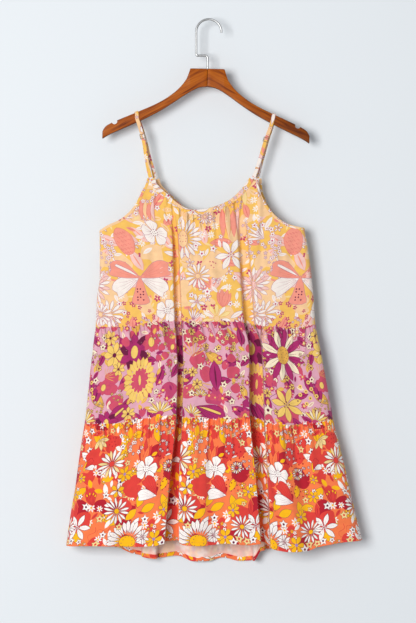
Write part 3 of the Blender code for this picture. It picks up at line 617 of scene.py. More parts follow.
def patch(size, ink="peach"):
    """A loose shape of another ground colour."""
    corners = [(0.0, 1.0), (0.6, 0.7), (0.5, 0.1), (0.95, -0.4), (0.3, -0.9), (-0.4, -0.7), (-0.9, -0.1),
               (-0.5, 0.5)]
    return [(rounded(corners) * size, ink)]


def leaf(size, ink="magenta", line="plum", vein="plum", slim=0.42):
    shapes = outlined(petal(2 * size, 2 * size * slim, 1.0, 0.8, 6, -size), ink, line if size > 14 else None)
    shapes.append((petal(1.5 * size, 0.3 * size * slim, 1.0, 1.0, 4, -0.8 * size), vein))
    return shapes


def blades(size, inks=("soft_white",), line="lilac_line", count=5, spread=80):
    """Slim curved leaves that rise from one place."""
    return petals(count, size, size * 0.15, inks, line, start=-spread / 2, spread=spread * 1.1, steps=6)


def leafy(size, ink="magenta", line="plum", middle="butter"):
    """A ragged flower with an oval middle."""
    shapes = petals(9, size, size * 0.52, (ink, "plum"), line, belly=1.1, blunt=0.7, steps=5, veins=1,
                    vein="plum")
    shapes.append((oval(size * 0.8, size, 12), ink))
    return shapes + outlined(oval(size * 0.46, size * 0.74, 12), middle, "bark_line")


def rosette(size, ink="rose", middle="butter"):
    shapes = petals(8, size, size * 0.6, (ink,), "berry", belly=1.7, blunt=0.6, steps=5)
    return shapes + outlined(oval(size * 0.7, size * 0.95), middle, "bark_line")


def bloom(size, ink="butter", collar="rose", middle="butter"):
    """A big fringed flower with a ring round its middle."""
    shapes = petals(21, size * 0.62, size * 0.27, (ink,), "ochre", inner=size * 0.38, belly=1.9, steps=5)
    shapes.append((oval(size * 1.15, size * 1.25, 16), ink))
    shapes += petals(15, size * 0.3, size * 0.19, (collar,), "berry", inner=size * 0.26, steps=4)
    shapes.append((oval(size * 0.78, size * 0.86, 14), collar))
    return [(outline * (0.86, 1.12), part) for outline, part in
            shapes + outlined(oval(size * 0.2, size * 0.52, 8), middle, "berry")]


def starburst(size, inks=("magenta", "cream"), middle="ochre"):
    shapes = petals(14, size * 0.84, size * 0.27, inks, "plum", inner=size * 0.14, belly=1.2, veins=1,
                    vein="plum", steps=6)
    shapes += outlined(oval(size * 0.52, size * 0.66, 12), middle, "bark_line")
    return shapes + specks(ring(12, size * 0.2) + ring(5, size * 0.09), size * 0.035, "bark_line")


def beads(size, ink="butter", dot="plum", count=9):
    """Little round seeds, each with a dark dot."""
    shapes = []
    for k in range(count):
        place = spiral(k, size * math.sqrt((k + 0.5) / count))
        shapes.append((oval(size * 0.34, size * 0.34, 7) + place, ink))
        shapes.append((oval(size * 0.13, size * 0.13, 5) + place, dot))
    return shapes


def curl(size, ink="plum", tip=None):
    """A thin stem that curls at both ends."""
    a = np.linspace(0, 1, 12)
    path = np.stack([size * 0.45 * np.sin(2.6 * np.pi * a) * (0.4 + 0.6 * a), size * (1 - 2 * a)], 1)
    shapes = [(stroke(path, 1.1), ink)]
    if tip:
        one = outlined(petal(size * 0.5, size * 0.4), tip, ink)
        shapes += [(outline + path[0], part) for outline, part in one]
    return shapes


def lace(size, ink="deep_red", count=16):
    places = [spiral(k, size * math.sqrt((k + 0.5) / count)) for k in range(count)]
    return specks(places, size * 0.17, ink)


def golden(size, ink="sun", line="bark_line", middle="violet", count=6):
    shapes = petals(count, size, size * 0.56, (ink,), line, belly=1.5, blunt=0.65)
    return shapes + [(oval(size * 0.34, size * 0.34, 7), middle)]


def flame(size, ink="red", inner="orange_ground", line="deep_red"):
    """Upright pointed petals, one set within another."""
    shapes = []
    for angle, reach, part in ((-22, 1.5, ink), (22, 1.5, ink), (0, 1.9, ink), (-13, 1.35, inner),
                               (13, 1.4, inner)):
        one = outlined(petal(size * reach, size * 0.46, 0.85, 0.8, 7, 0), part, line)
        one.append((stroke([(0, size * 0.1), (0, size * reach * 0.8)], 0.6), line))
        shapes += [(turned(outline, angle) - (0, size), ink_) for outline, ink_ in one]
    return shapes


def wing_pair(size, hand=1):
    """A white ruffled petal over a red fan."""
    red = [(turned(outline, 42 * hand), part)
           for outline, part in wing(size * 1.1, "red", "deep_red", "deep_red", None, -hand)]
    white = wing(size, "white", "shade_line", "lilac_line", None, -hand)
    return red + [(turned(outline, -8 * hand), part) for outline, part in white]


def trio(size):
    """White petals between golden ones."""
    shapes = petals(3, size * 0.9, size * 0.6, ("sun",), "bark_line", start=60, belly=1.4)
    shapes += petals(3, size, size * 0.44, ("white",), "shade_line", belly=1.4, veins=1)
    return shapes + [(oval(size * 0.24, size * 0.24, 6), "shade_line")]


def half_daisy(size):
    """Petals over the upper half of a large seed head."""
    shapes = petals(11, size * 0.7, size * 0.2, ("soft_white",), "lilac_line", spread=200,
                    inner=size * 0.3, belly=1.5)
    shapes += outlined(petal(size * 0.9, size * 0.5, 0.9, 0.6, 8, -size * 0.45), "peach", "lilac_line")
    return shapes + specks(ring(8, size * 0.17), size * 0.05, "berry")


def curtain(size):
    """Tall petals side by side."""
    shapes = []
    for k, ink in enumerate(("coral", "peach", "coral", "blush")):
        one = petal(size * (2 + 0.3 * UNEVEN[k]), size * 0.42, 1.2, 0.6, 7, -size)
        shapes += outlined(one + (size * 0.36 * (k - 1.5), 0), ink, "deep_coral")
    return shapes


def broad_leaf(size, ink="rose", line="berry"):
    corners = [(-0.7, 0.6), (0.3, 0.75), (0.95, 0.3), (0.6, -0.5), (-0.6, -0.65)]
    return outlined(rounded(corners) * size, ink, line)


def veined_daisy(size, ink="butter", line="bark_line", vein="ochre", middle="plum"):
    shapes = petals(7, size, size * 0.56, (ink,), line, belly=1.5, veins=1, vein=vein)
    return shapes + [(oval(size * 0.36, size * 0.36, 7), middle)]


def low_fan(size, inks=("butter", "cream"), line="bark_line", middle="berry"):
    shapes = petals(9, size * 0.95, size * 0.2, inks, line, start=-75, spread=168)
    return shapes + [(oval(size * 0.5, size * 0.3, 8), middle)]


def grass(size, ink="ochre"):
    return petals(7, size, size * 0.05, (ink,), None, start=-70, spread=140, steps=4)


def four_petals(size, ink="straw", line="bark_line"):
    return petals(4, size, size * 0.4, (ink,), line, start=90, spread=150, veins=1, vein=line)


def small_lily(size):
    return petals(5, size, size * 0.42, ("soft_white",), "lilac_line")


def small_flower(size, count, thin, inks, line, steps, middle, across, tall=None, points=6):
    """Petals round a plain oval middle."""
    shapes = petals(count, size, size * thin, inks, line, steps=steps)
    return shapes + [(oval(size * across, size * (tall or across), points), middle)]


KINDS = {  # what each name in the tables draws: a function, and what it is given after the size
    "anemone": (anemone,), "daisy": (daisy,), "orchid": (orchid,), "bud": (bud,), "lily": (lily,),
    "tulip": (tulip,), "mum": (mum,), "sprig": (sprig,), "stars": (stars,), "blossom": (blossom,),
    "patch": (patch,), "blades": (blades,), "half_daisy": (half_daisy,), "curtain": (curtain,),
    "leafy": (leafy,), "rosette": (rosette,), "bloom": (bloom,), "starburst": (starburst,),
    "beads": (beads,), "plum_leaf": (leaf,), "rose_leaf": (broad_leaf,), "trio": (trio,),
    "butter_daisy": (veined_daisy,), "butter_fan": (low_fan,), "ochre_blades": (grass,),
    "straw_lily": (four_petals,), "golden": (golden,), "white_fan": (fan,), "flame": (flame,),
    "lace": (lace,), "wing_pair": (wing_pair,), "wing_pair_left": (wing_pair, -1),
    "curl": (curl, "plum", "cream"), "red_curl": (curl, "red"),
    "straw_leaf": (leaf, "straw", "ochre", "peach", 0.3),
    "coral_leaf": (leaf, "coral", "deep_coral", "deep_coral", 0.4),
    "white_leaf": (leaf, "soft_white", "lilac_line", "blush", 0.36),
    "red_leaf": (leaf, "red", "deep_red", "deep_red", 0.36),
    "blush_leaf": (leaf, "blush", "coral", "coral", 0.44),
    "peach_leaf": (leaf, "peach", "ochre", "ochre", 0.5),
    "ochre_leaf": (leaf, "ochre", "bark_line", "butter", 0.46),
    "pale_leaf": (leaf, "cream", "lilac_line", "rose", 0.4),
    "white_leaf_dark": (leaf, "white", "shade_line", "white", 0.42),
    "sun_leaf": (leaf, "sun", "bark_line", "sun", 0.5),
    "straw_daisy": (daisy, ("straw", "soft_white"), "ochre", "peach", 11, 0.3),
    "white_daisy": (daisy, ("white",), "shade_line", "sun", 14, 0.22),
    "two_tone_daisy": (daisy, ("white", "white", "straw"), "shade_line", "red", 15, 0.24),
    "magenta_wing": (wing, "magenta", "plum", "plum", "butter"),
    "plum_wing": (wing, "magenta", "plum", "plum", None, -1),
    "butter_lily": (lily, "butter", "bark_line", "plum", 7, "ochre"),
    "white_lily": (lily, "white", "shade_line", "deep_red", 6),
    "white_anemone": (anemone, "white", "shade_line", "plum", 5, "white"),
    "rose_tulip": (tulip, "rose", "berry", "magenta", "berry"),
    "red_tulip": (tulip, "red", "deep_red", "sun", "deep_red"),
    "butter_sprig": (sprig, ("butter", "butter", "cream"), "bark_line", "plum", 9),
    "cream_sprig": (sprig, ("cream", "butter"), "plum", "plum", 6),
    "rose_sprig": (sprig, ("rose", "butter"), "berry", "cream", 7),
    "white_sprig": (sprig, ("white",), "shade_line", "deep_red", 8),
    "golden_sprig": (sprig, ("sun", "white"), "bark_line", "red", 5),
    "cream_blossom": (blossom, "cream", "bark_line", "plum"),
    "white_blossom": (blossom, "white", "shade_line", "plum"),
    "straw_blossom": (blossom, "straw", "bark_line", "red"),
    "white_blossom_small": (blossom, "soft_white", "lilac_line", "berry"),
    "rose_star": (star, "rose", "butter"), "berry_star": (star, "berry", "peach"),
    "red_patch": (patch, "red"), "deep_patch": (patch, "deep_red"), "berry_patch": (patch, "berry"),
    "small_daisy": (small_flower, 8, 0.32, ("soft_white",), None, 5, "peach", 0.5),
    "small_white": (small_flower, 7, 0.36, ("white",), None, 4, "sun", 0.5),
    "small_butter": (small_flower, 6, 0.6, ("butter",), "bark_line", 5, "plum", 0.4),
    "small_golden": (small_flower, 5, 0.62, ("sun",), "bark_line", 4, "white", 0.4),
    "small_bloom": (small_flower, 7, 0.55, ("rose", "magenta"), None, 6, "butter", 0.7, 0.9, 8),
    "small_lily": (small_lily,),
}

PRINTS = {  # ground, repeat across in mm, and rows of kind, across, down, size, turn
    "bodice": ("gold_ground", 380.0, (
        ("patch", -208, 60, 34, 20), ("patch", -40, 40, 30, 80), ("patch", -141, 160, 26, 140),
        ("patch", 10, 180, 30, 0), ("patch", -239, 232, 30, 60), ("patch", 60, 110, 28, 200),
        ("patch", 120, 62, 26, 300), ("patch", -60, 236, 30, 30), ("patch", 134, 172, 24, 90),
        ("patch", -163, 262, 20, 10), ("patch", 34, 286, 26, 120), ("patch", 70, 20, 26, 40),
        ("curtain", -125, 72, 21, 4), ("curtain", 44, 96, 30, -3), ("coral_leaf", 4, 60, 20, 12),
        ("coral_leaf", 80, 72, 17, -30), ("coral_leaf", -193, 44, 15, 40), ("coral_leaf", 72, 196, 13, 30),
        ("straw_leaf", 70, 40, 22, -14), ("straw_leaf", -30, 84, 15, 60), ("straw_leaf", 108, 262, 17, 70),
        ("blades", 128, 128, 38, -52), ("blades", -183, 86, 30, 60), ("blades", -32, 292, 26, 20),
        ("half_daisy", -52, 128, 41, 0), ("white_leaf", -151, 152, 12, 60),
        ("white_leaf", -105, 158, 15, 105), ("white_leaf", -151, 96, 11, 90),
        ("anemone", -121, 272, 24, 25), ("daisy", -22, 203, 27, 5), ("lily", 44, 160, 34, 14),
        ("tulip", 30, 246, 25, 6), ("mum", 113, 222, 38, 0), ("sprig", 130, 116, 26, 0),
        ("sprig", 152, 150, 22, 60), ("sprig", -237, 150, 20, 20), ("sprig", -237, 186, 17, 80),
        ("sprig", -157, 62, 22, 10), ("sprig", -119, 44, 19, 100), ("sprig", 108, 150, 20, 200),
        ("sprig", -20, 44, 18, 150), ("sprig", 84, 108, 18, 33), ("blossom", -26, 142, 8, 0),
        ("blossom", -14, 158, 9, 40), ("blossom", 9, 148, 9, 15), ("blossom", -3, 234, 10, 0),
        ("blossom", 116, 40, 8, 0), ("blossom", -52, 66, 9, 20), ("blossom", 16, 28, 8, 50),
        ("blossom", -66, 196, 8, 10), ("blossom", 24, 124, 6, 0), ("lily", -24, 254, 18, 30),
        ("straw_daisy", 16, 288, 30, 0), ("white_leaf", 56, 280, 15, 60), ("daisy", -238, 280, 31, 20),
        ("daisy", 124, 280, 26, 40), ("daisy", 66, 300, 18, 0), ("stars", -191, 268, 24, 0),
        ("stars", -155, 288, 20, 50), ("stars", -209, 296, 18, 90), ("stars", 8, 178, 9, 0),
        ("stars", -56, 288, 18, 10), ("stars", 142, 70, 14, 10), ("stars", -62, 240, 10, 40),
        ("sprig", -165, 296, 15, 0), ("sprig", 150, 300, 15, 45), ("white_leaf", -249, 96, 14, 20),
        ("daisy", -8, 84, 17, 0), ("sprig", 60, 62, 14, 70), ("anemone", -60, 12, 20, 0),
        ("anemone", 132, 14, 20, 40), ("orchid", 30, 4, 40, 10), ("bud", -151, 10, 20, 30),
        ("tulip", -233, 20, 20, 0), ("sprig", -193, 8, 18, 0), ("bud", -193, 133, 28, -12),
        ("anemone", -128, 116, 26, 10), ("orchid", -172, 206, 64, 0),
    )),
    "middle_tier": ("pink_ground", 590.0, (
        ("ochre_blades", -40, 70, 40, 10), ("ochre_blades", -30, 120, 36, 170),
        ("ochre_blades", 174, 20, 30, 90), ("ochre_blades", -282, 100, 24, 60),
        ("ochre_blades", 286, 200, 26, 0), ("butter_daisy", -267, 56, 27, 10),
        ("butter_daisy", -279, 22, 17, 40), ("butter_daisy", -255, 84, 15, 0), ("leafy", -221, 52, 38, 0),
        ("rosette", -182, 40, 22, 0), ("rose_leaf", -243, 30, 12, 60), ("rose_tulip", -165, 74, 12, 160),
        ("cream_sprig", -160, 34, 17, 0), ("rosette", -133, 52, 14, 20), ("butter_sprig", -139, 22, 14, 30),
        ("curl", -135, 112, 24, 15), ("curl", -117, 86, 20, 190), ("cream_sprig", -145, 96, 13, 70),
        ("butter_sprig", -129, 78, 12, 0), ("plum_leaf", -163, 62, 9, 80), ("bloom", -205, 112, 41, -8),
        ("rose_leaf", -266, 124, 16, 10), ("rose_star", -269, 178, 12, 0),
        ("butter_sprig", -249, 138, 14, 50), ("plum_leaf", -293, 132, 22, 0),
        ("rose_leaf", -253, 158, 13, 60), ("magenta_wing", -271, 196, 60, -28),
        ("rose_tulip", -193, 178, 13, 0), ("plum_leaf", -177, 186, 13, -30),
        ("butter_fan", -157, 184, 29, 0), ("cream_blossom", -129, 160, 9, 0),
        ("cream_blossom", -167, 140, 8, 0), ("cream_blossom", -285, 206, 10, 20),
        ("butter_daisy", -223, 176, 15, 0), ("cream_sprig", -125, 196, 14, 0), ("leafy", -101, 60, 30, 30),
        ("bloom", -99, 140, 30, 0), ("rose_sprig", -8, 14, 20, 0), ("rose_sprig", 20, 20, 17, 70),
        ("butter_sprig", 34, 40, 24, 0), ("butter_sprig", 48, 64, 15, 100), ("butter_daisy", -40, 20, 9, 0),
        ("butter_daisy", -34, 36, 8, 0), ("plum_leaf", 8, 106, 31, -8), ("rose_leaf", 44, 100, 16, 0),
        ("rose_leaf", 40, 72, 11, 40), ("butter_sprig", 58, 116, 14, 0), ("rose_leaf", 50, 132, 12, 60),
        ("rose_star", -4, 146, 11, 0), ("rose_star", 24, 150, 12, 30), ("butter_daisy", -40, 100, 11, 0),
        ("butter_daisy", -30, 124, 12, 0), ("cream_blossom", -40, 142, 9, 0),
        ("butter_fan", -22, 148, 18, 0), ("butter_fan", -38, 186, 24, 30),
        ("magenta_wing", -30, 168, 62, 28), ("plum_wing", 110, 180, 48, 12),
        ("cream_blossom", 34, 190, 10, 0), ("cream_sprig", -14, 62, 15, 30), ("plum_leaf", 66, 30, 20, 10),
        ("leafy", 116, 52, 38, 10), ("bloom", 126, 122, 40, 5), ("plum_leaf", 136, 176, 22, -40),
        ("rosette", 70, 190, 14, 0), ("rose_sprig", 164, 50, 22, 0), ("cream_sprig", 172, 90, 18, 20),
        ("butter_sprig", 174, 70, 14, 0), ("curl", 168, 124, 24, 0), ("curl", 196, 140, 28, 12),
        ("cream_blossom", 180, 166, 13, 0), ("butter_daisy", 182, 132, 10, 0),
        ("plum_leaf", 200, 194, 10, 0), ("starburst", 228, 54, 56, 8), ("butter_lily", 222, 152, 36, 10),
        ("beads", 270, 134, 26, 0), ("rose_tulip", 200, 112, 10, 200), ("plum_leaf", 240, 194, 19, -28),
        ("plum_leaf", 260, 184, 14, -50), ("butter_fan", 276, 190, 30, 40), ("rose_sprig", 272, 20, 20, 0),
        ("butter_sprig", 278, 66, 17, 0), ("plum_leaf", 286, 96, 10, 30), ("rose_star", 268, 98, 9, 0),
        ("cream_blossom", 294, 40, 9, 0), ("rosette", 308, 120, 16, 0), ("butter_sprig", 304, 160, 15, 0),
        ("leafy", 324, 190, 24, 0), ("cream_blossom", 146, 20, 10, 0), ("rose_sprig", -97, 14, 18, 0),
        ("rose_leaf", -101, 190, 14, 0),
    )),
    "bottom_tier": ("orange_ground", 232.0, (
        ("red_patch", 22, 66, 22, 0), ("red_patch", 62, 40, 22, 60), ("red_patch", 118, 130, 24, 20),
        ("red_patch", 196, 60, 26, 100), ("red_patch", 104, 168, 18, 200), ("deep_patch", 206, 110, 20, 0),
        ("red_patch", 16, 196, 20, 140), ("red_patch", 210, 190, 22, 70), ("red_patch", 170, 90, 14, 10),
        ("sun_leaf", 12, 84, 15, 20), ("sun_leaf", 104, 24, 12, 0), ("sun_leaf", 168, 34, 17, -20),
        ("sun_leaf", 64, 112, 13, 80), ("sun_leaf", 140, 158, 17, 30), ("sun_leaf", 118, 186, 17, 50),
        ("flame", 142, 62, 27, 2), ("lace", 56, 34, 17, 0), ("lace", 202, 74, 24, 0),
        ("lace", 196, 128, 20, 0), ("straw_lily", 30, 32, 23, 0), ("red_leaf", 26, 20, 13, 70),
        ("golden", 4, 112, 11, 0), ("white_sprig", 116, 52, 21, 0), ("white_sprig", 176, 20, 17, 40),
        ("white_sprig", 186, 56, 15, 90), ("golden_sprig", 92, 14, 13, 0), ("white_blossom", 82, 26, 7, 0),
        ("white_sprig", 206, 30, 13, 0), ("two_tone_daisy", 67, 82, 31, 6), ("golden", 101, 104, 17, 15),
        ("white_anemone", 150, 98, 25, 12), ("wing_pair", 176, 152, 42, 6), ("trio", 88, 136, 17, 10),
        ("white_blossom", 64, 146, 9, 0), ("wing_pair_left", 8, 92, 22, -10), ("red_tulip", 32, 152, 19, 0),
        ("white_daisy", 86, 178, 29, 0), ("white_lily", 4, 212, 29, 14), ("straw_blossom", 50, 194, 10, 0),
        ("red_curl", 58, 220, 20, 60), ("red_curl", 38, 228, 18, 20), ("white_blossom", 62, 226, 9, 0),
        ("white_blossom", 80, 236, 10, 30), ("white_fan", 116, 240, 43, 4),
        ("golden_sprig", 166, 216, 20, 0), ("white_blossom", 150, 196, 10, 0), ("golden", 172, 236, 19, 30),
        ("white_lily", 148, 230, 16, 40), ("straw_blossom", 94, 210, 9, 0),
        ("straw_blossom", 206, 150, 9, 0), ("white_daisy", 208, 214, 25, 20), ("golden", 190, 182, 15, 0),
        ("straw_blossom", 52, 246, 10, 0), ("white_sprig", 218, 92, 14, 10), ("golden", 224, 146, 14, 50),
        ("straw_blossom", 216, 50, 9, 0), ("two_tone_daisy", 200, 98, 15, 40),
        ("red_leaf", 228, 176, 16, 0), ("white_blossom", 190, 246, 11, 0), ("golden_sprig", 26, 248, 13, 0),
    )),
}


# What fills the ground of each print: kinds, spacing in mm and size in mm of the larger shapes
# under the flowers, then of the small ones between them
FILLS = {
    "bodice": (
        (("patch", "blush_leaf", "patch", "coral_leaf", "straw_leaf", "blush_leaf"), 42.0, 21.0),
        (("white_blossom_small", "white_leaf", "straw_leaf", "coral_leaf", "small_daisy", "peach_leaf",
          "berry_star", "white_leaf", "small_lily"), 17.5, 8.5),
    ),
    "middle_tier": (
        (("plum_leaf", "rose_leaf", "ochre_leaf", "plum_leaf", "berry_patch", "plum_leaf"), 36.0, 19.0),
        (("rose_star", "ochre_leaf", "plum_leaf", "cream_blossom", "small_butter", "rose_leaf",
          "small_bloom", "ochre_leaf", "pale_leaf"), 17.0, 8.0),
    ),
    "bottom_tier": (
        (("red_patch", "sun_leaf", "white_leaf_dark", "red_patch", "sun_leaf", "deep_patch"), 34.0, 16.0),
        (("white_blossom", "sun_leaf", "small_golden", "small_white", "straw_blossom", "red_leaf",
          "white_leaf_dark"), 17.0, 8.5),
    ),
}


def scattered(name, which, tall, keep_clear):
    """Rows of kind, across, down, size, turn that fill a print's ground in an uneven lattice."""
    kinds, spacing, size = FILLS[name][which]
    _, repeat, placed = PRINTS[name]
    columns, lines = round(repeat / spacing), math.ceil(tall / spacing) + 1
    rows = []
    for line in range(lines):
        for column in range(columns):
            k = line * 7 + column * 5 + (line * column) % 4
            across = (column + 0.5 * (line % 2) + 0.28 * UNEVEN[k % 9]) * repeat / columns
            down = (line + 0.25 * UNEVEN[(k + 4) % 9]) * spacing
            own = size * (1 + 0.22 * UNEVEN[(k + 2) % 9])
            clear = True
            for _, x, y, reach, _ in placed if keep_clear else ():
                off = (across - x + repeat / 2) % repeat - repeat / 2
                clear = clear and math.hypot(off, down - y) > 0.5 * reach + 0.5 * own
            if clear:
                rows.append((kinds[k % len(kinds)], across, down, own, (k * 47) % 360))
    return rows


def all_rows(name, tall):
    return (*scattered(name, 0, tall, False), *scattered(name, 1, tall, True), *PRINTS[name][2])


def drawn_print(name, low, high, shift=(0.0, 0.0)):
    """The shapes of a print that fall between two corners of the flat cloth, in painting order."""
    repeat = PRINTS[name][1]
    art = []
    for kind, across, down, size, turn in all_rows(name, high[1]):
        draw, *details = KINDS[kind]
        shapes = [(turned(outline, turn) * (1, -1), ink) for outline, ink in draw(size, *details)]
        first = math.floor((low[0] - across - shift[0]) / repeat)
        last = math.ceil((high[0] - across - shift[0]) / repeat)
        for copy in range(first, last + 1):
            place = np.array([across + shift[0] + copy * repeat, down + shift[1]])
            if np.all(place > low - 1.6 * size) and np.all(place < high + 1.6 * size):
                art += [(outline + place, INK_ORDER[ink]) for outline, ink in shapes]
    return [(o, ink) for o, ink in art if np.all(o.max(0) > low) and np.all(o.min(0) < high)]


# Hanging the flat cloth: each piece knows where every place (across, down) of its flat cut hangs

THIN = 0.6  # thickness of the shown cloth
BATCH = 4000  # places tested at a time
BODICE_TALL, BODICE_HALF = 316.0, 232.0  # the region that the bodice's tables of places cover
TUCK = 2.0  # how far a panel goes up inside a binding
TOP_LEVEL = -312.0  # the level that the bodice's "down" is measured from
ALLOWANCE = 5.0  # seam allowance of a gathered edge, inside the piece above
BEHIND = 1.0  # how far it lies behind that piece's face
HEM_DEEP = 8.0  # depth of the turned-up hem
HEM_BEND = 0.6  # radius of its fold


def look_up(table, rows, columns):
    """Values of a table between its rows and columns."""
    rows = np.clip(rows, 0, table.shape[0] - 1.001)
    columns = np.clip(columns, 0, table.shape[1] - 1.001)
    i, j = rows.astype(int), columns.astype(int)
    a, b = rows - i, columns - j
    return ((table[i, j] * (1 - b) + table[i, j + 1] * b) * (1 - a)
            + (table[i + 1, j] * (1 - b) + table[i + 1, j + 1] * b) * a)


def run_along(face, x, level):
    """The cloth's run, in millimetres, along a row of places."""
    y = cloth_y(face, x, level)
    return np.concatenate([[0], np.cumsum(np.hypot(np.diff(x), np.diff(y)))])


def tier_hang(face, top, bottom):
    """How a gathered tier hangs. Gives its flat width and height, and its place function."""
    shares, columns = np.linspace(0, 1, 41), np.linspace(0, 1, 1601)
    ends = [[float(soft_curve(SIDES, c, row[1])) for row in (table[0], table[-1])][k]
            for table in (top, bottom) for k, c in ((0, 1), (1, 2))]
    rows = []
    for share in shares:
        left, right = (ends[k] * (1 - share) + ends[k + 2] * share for k in (0, 1))
        x = np.linspace(left, right, 4200)
        level = soft_curve(top, 1, x) * (1 - share) + soft_curve(bottom, 1, x) * share
        side_left, side_right = side_seams(level)
        x = np.clip(x, side_left, side_right)
        run = run_along(face, x, level)
        middle = float(np.mean(level))
        folds = [float(soft_curve(FOLDS[face][name], 1, middle)) for name in DEEP_FOLDS]
        rows.append((x, level, run, np.interp(folds, x, run)))
    width = rows[-1][2][-1]
    stations = [0, *(rows[-1][3] / width), 1]
    tables = []
    for x, level, run, folds in rows:
        at = np.interp(columns, stations, [0, *folds, run[-1]])
        tables.append([np.interp(at, run, values) for values in (x, cloth_y(face, x, level), level)])
    tables = np.array(tables).transpose(1, 0, 2)
    height = float(np.mean(tables[2, 0] - tables[2, -1]))

    def place(across, down):
        row = down / height * (len(shares) - 1)
        column = (across / width + 0.5) * (len(columns) - 1)
        x, y, level = (look_up(table, row, column) for table in tables)
        return x, y, level + np.clip(-down, 0, None)  # an allowance stands straight up

    return width, height, place


def bodice_hang(face):
    """How the bodice hangs. Gives functions from flat places to hung ones and back."""
    levels = TOP_LEVEL - np.linspace(0, BODICE_TALL, 80)
    reach, step = 300.0, 0.5  # of the flat places in the tables
    across = np.arange(-reach, reach + step, step)
    x_table, y_table, run_table, fine = [], [], [], np.linspace(-BODICE_HALF, BODICE_HALF, 3100)
    for level in levels:
        side_left, side_right = side_seams(level)
        x = np.clip(fine, side_left, side_right)
        run = run_along(face, x, np.full_like(x, level))
        run -= np.interp(0.0, x, run)
        grow = np.arange(len(run)) * 1e-7  # keeps the run rising where x stands still
        x_table.append(np.interp(across, run + grow, x))
        y_table.append(np.interp(across, run + grow, cloth_y(face, x, level)))
        run_table.append(run)
    x_table, y_table, run_table = (np.array(table) for table in (x_table, y_table, run_table))

    def row_of(level):
        return (TOP_LEVEL - level) / BODICE_TALL * (len(levels) - 1)

    def place(across_, down):
        level = TOP_LEVEL - down
        column = (across_ + reach) / step
        x, y = (look_up(table, row_of(level), column) for table in (x_table, y_table))
        return x, y, level

    def flat(x, level):
        column = (x + BODICE_HALF) / (2 * BODICE_HALF) * (len(fine) - 1)
        return look_up(run_table, row_of(level), column), TOP_LEVEL - level

    return place, flat


def bodice_outline(face, flat):
    """The bodice's cut edge on the flat, clockwise from its left underarm, and its neckline."""
    edges = finished_edges(face)
    lines = {}
    for name, width in (("left", ARM_BINDING), ("neck", NECK_CASING), ("right", ARM_BINDING)):
        edge = edges[name]
        line = on_edge(edge, np.arange(0, edge[2][-1], 2.5), width - TUCK)
        last = on_edge(edge, edge[2][-1:], width - TUCK)
        line = np.concatenate([line, last])
        lines[name] = line[line[:, 1] < APEX_LEVEL]
    seam = SEAM_1[face]
    ends = (float(soft_curve(SIDES, column, seam[row][1])) for column, row in ((1, 0), (2, -1)))
    x = np.linspace(*ends, 160)
    bottom = np.stack([x, soft_curve(seam, 1, x) + GAP / 2], 1)
    sides = []
    for column, start, end in ((2, lines["right"][-1, 1], bottom[-1, 1]),
                               (1, bottom[0, 1], lines["left"][-1, 1])):
        level = np.linspace(start, end, 60)[1:-1]
        sides.append(np.stack([soft_curve(SIDES, column, level), level], 1))
    apexes = [(lines["left"][0] + lines["neck"][0]) / 2, (lines["neck"][-1] + lines["right"][0]) / 2]
    outline = np.concatenate([lines["left"][::-1], [apexes[0]], lines["neck"], [apexes[1]], lines["right"],
                              sides[0], bottom[::-1], sides[1]])
    return [np.stack(flat(line[:, 0], line[:, 1]), 1) for line in (outline, lines["neck"])]


def relief(folds, across, down):
    """How far the small folds push the cloth out, from rows of
    across, first down, length, how far out, half width, lean."""
    total = np.zeros_like(across)
    for at, first, length, out, half, lean in folds:
        t = (down - first) / length
        near = (t > -0.12) & (t < 1)
        if not near.any():
            continue
        away = np.abs(across - at - lean * (down - first)) / (half * (1 + 0.6 * np.clip(t, 0, 1)))
        bell = np.where(away < 1, 0.5 * (1 + np.cos(np.pi * np.minimum(away, 1))), 0)
        fade = np.clip(1 - t, 0, 1) ** 1.3 * np.clip(0.35 + (down - first) / 7, 0.15, 1)
        total += np.where(near, out * bell * fade, 0)
    return total


# Gathers below a seam: gap to the next in mm, length, how far out, half width, lean
GATHERS = (
    (9.5, 50, 4.2, 3.0, 0.02), (7.0, 26, 3.0, 2.3, 0.0), (8.5, 38, 3.8, 2.7, -0.03),
    (11.0, 76, 5.0, 3.7, 0.04), (6.0, 20, 2.4, 2.0, 0.05), (8.5, 46, 4.0, 2.9, -0.02),
    (7.0, 30, 2.8, 2.3, 0.03), (12.0, 98, 5.2, 4.3, -0.03), (8.0, 34, 3.6, 2.7, 0.0),
    (5.5, 18, 2.2, 1.9, -0.05), (10.0, 62, 4.6, 3.3, 0.02), (6.5, 26, 2.9, 2.2, 0.04),
    (9.0, 40, 3.8, 2.9, -0.04),
)


def creases(piece, face):
    """The larger creases of a panel, as rows for relief."""
    return [(at, first, length, 2.2 * out, 0.6 * half, lean)
            for at, first, length, out, half, lean in CREASES[piece, face]]


def gathers(start, end, scale, first, edge=None):
    """Rows for relief, along an edge from start to end. edge gives how far down it lies."""
    rows, at, k = [], start, first
    while at < end:
        gap, length, out, half, lean = GATHERS[k % len(GATHERS)]
        down = float(edge(at)) if edge else 0.0
        rows.append((at, down, length * scale, 1.4 * out * scale**0.5, 0.9 * half, lean))
        at += gap
        k += 1
    return rows


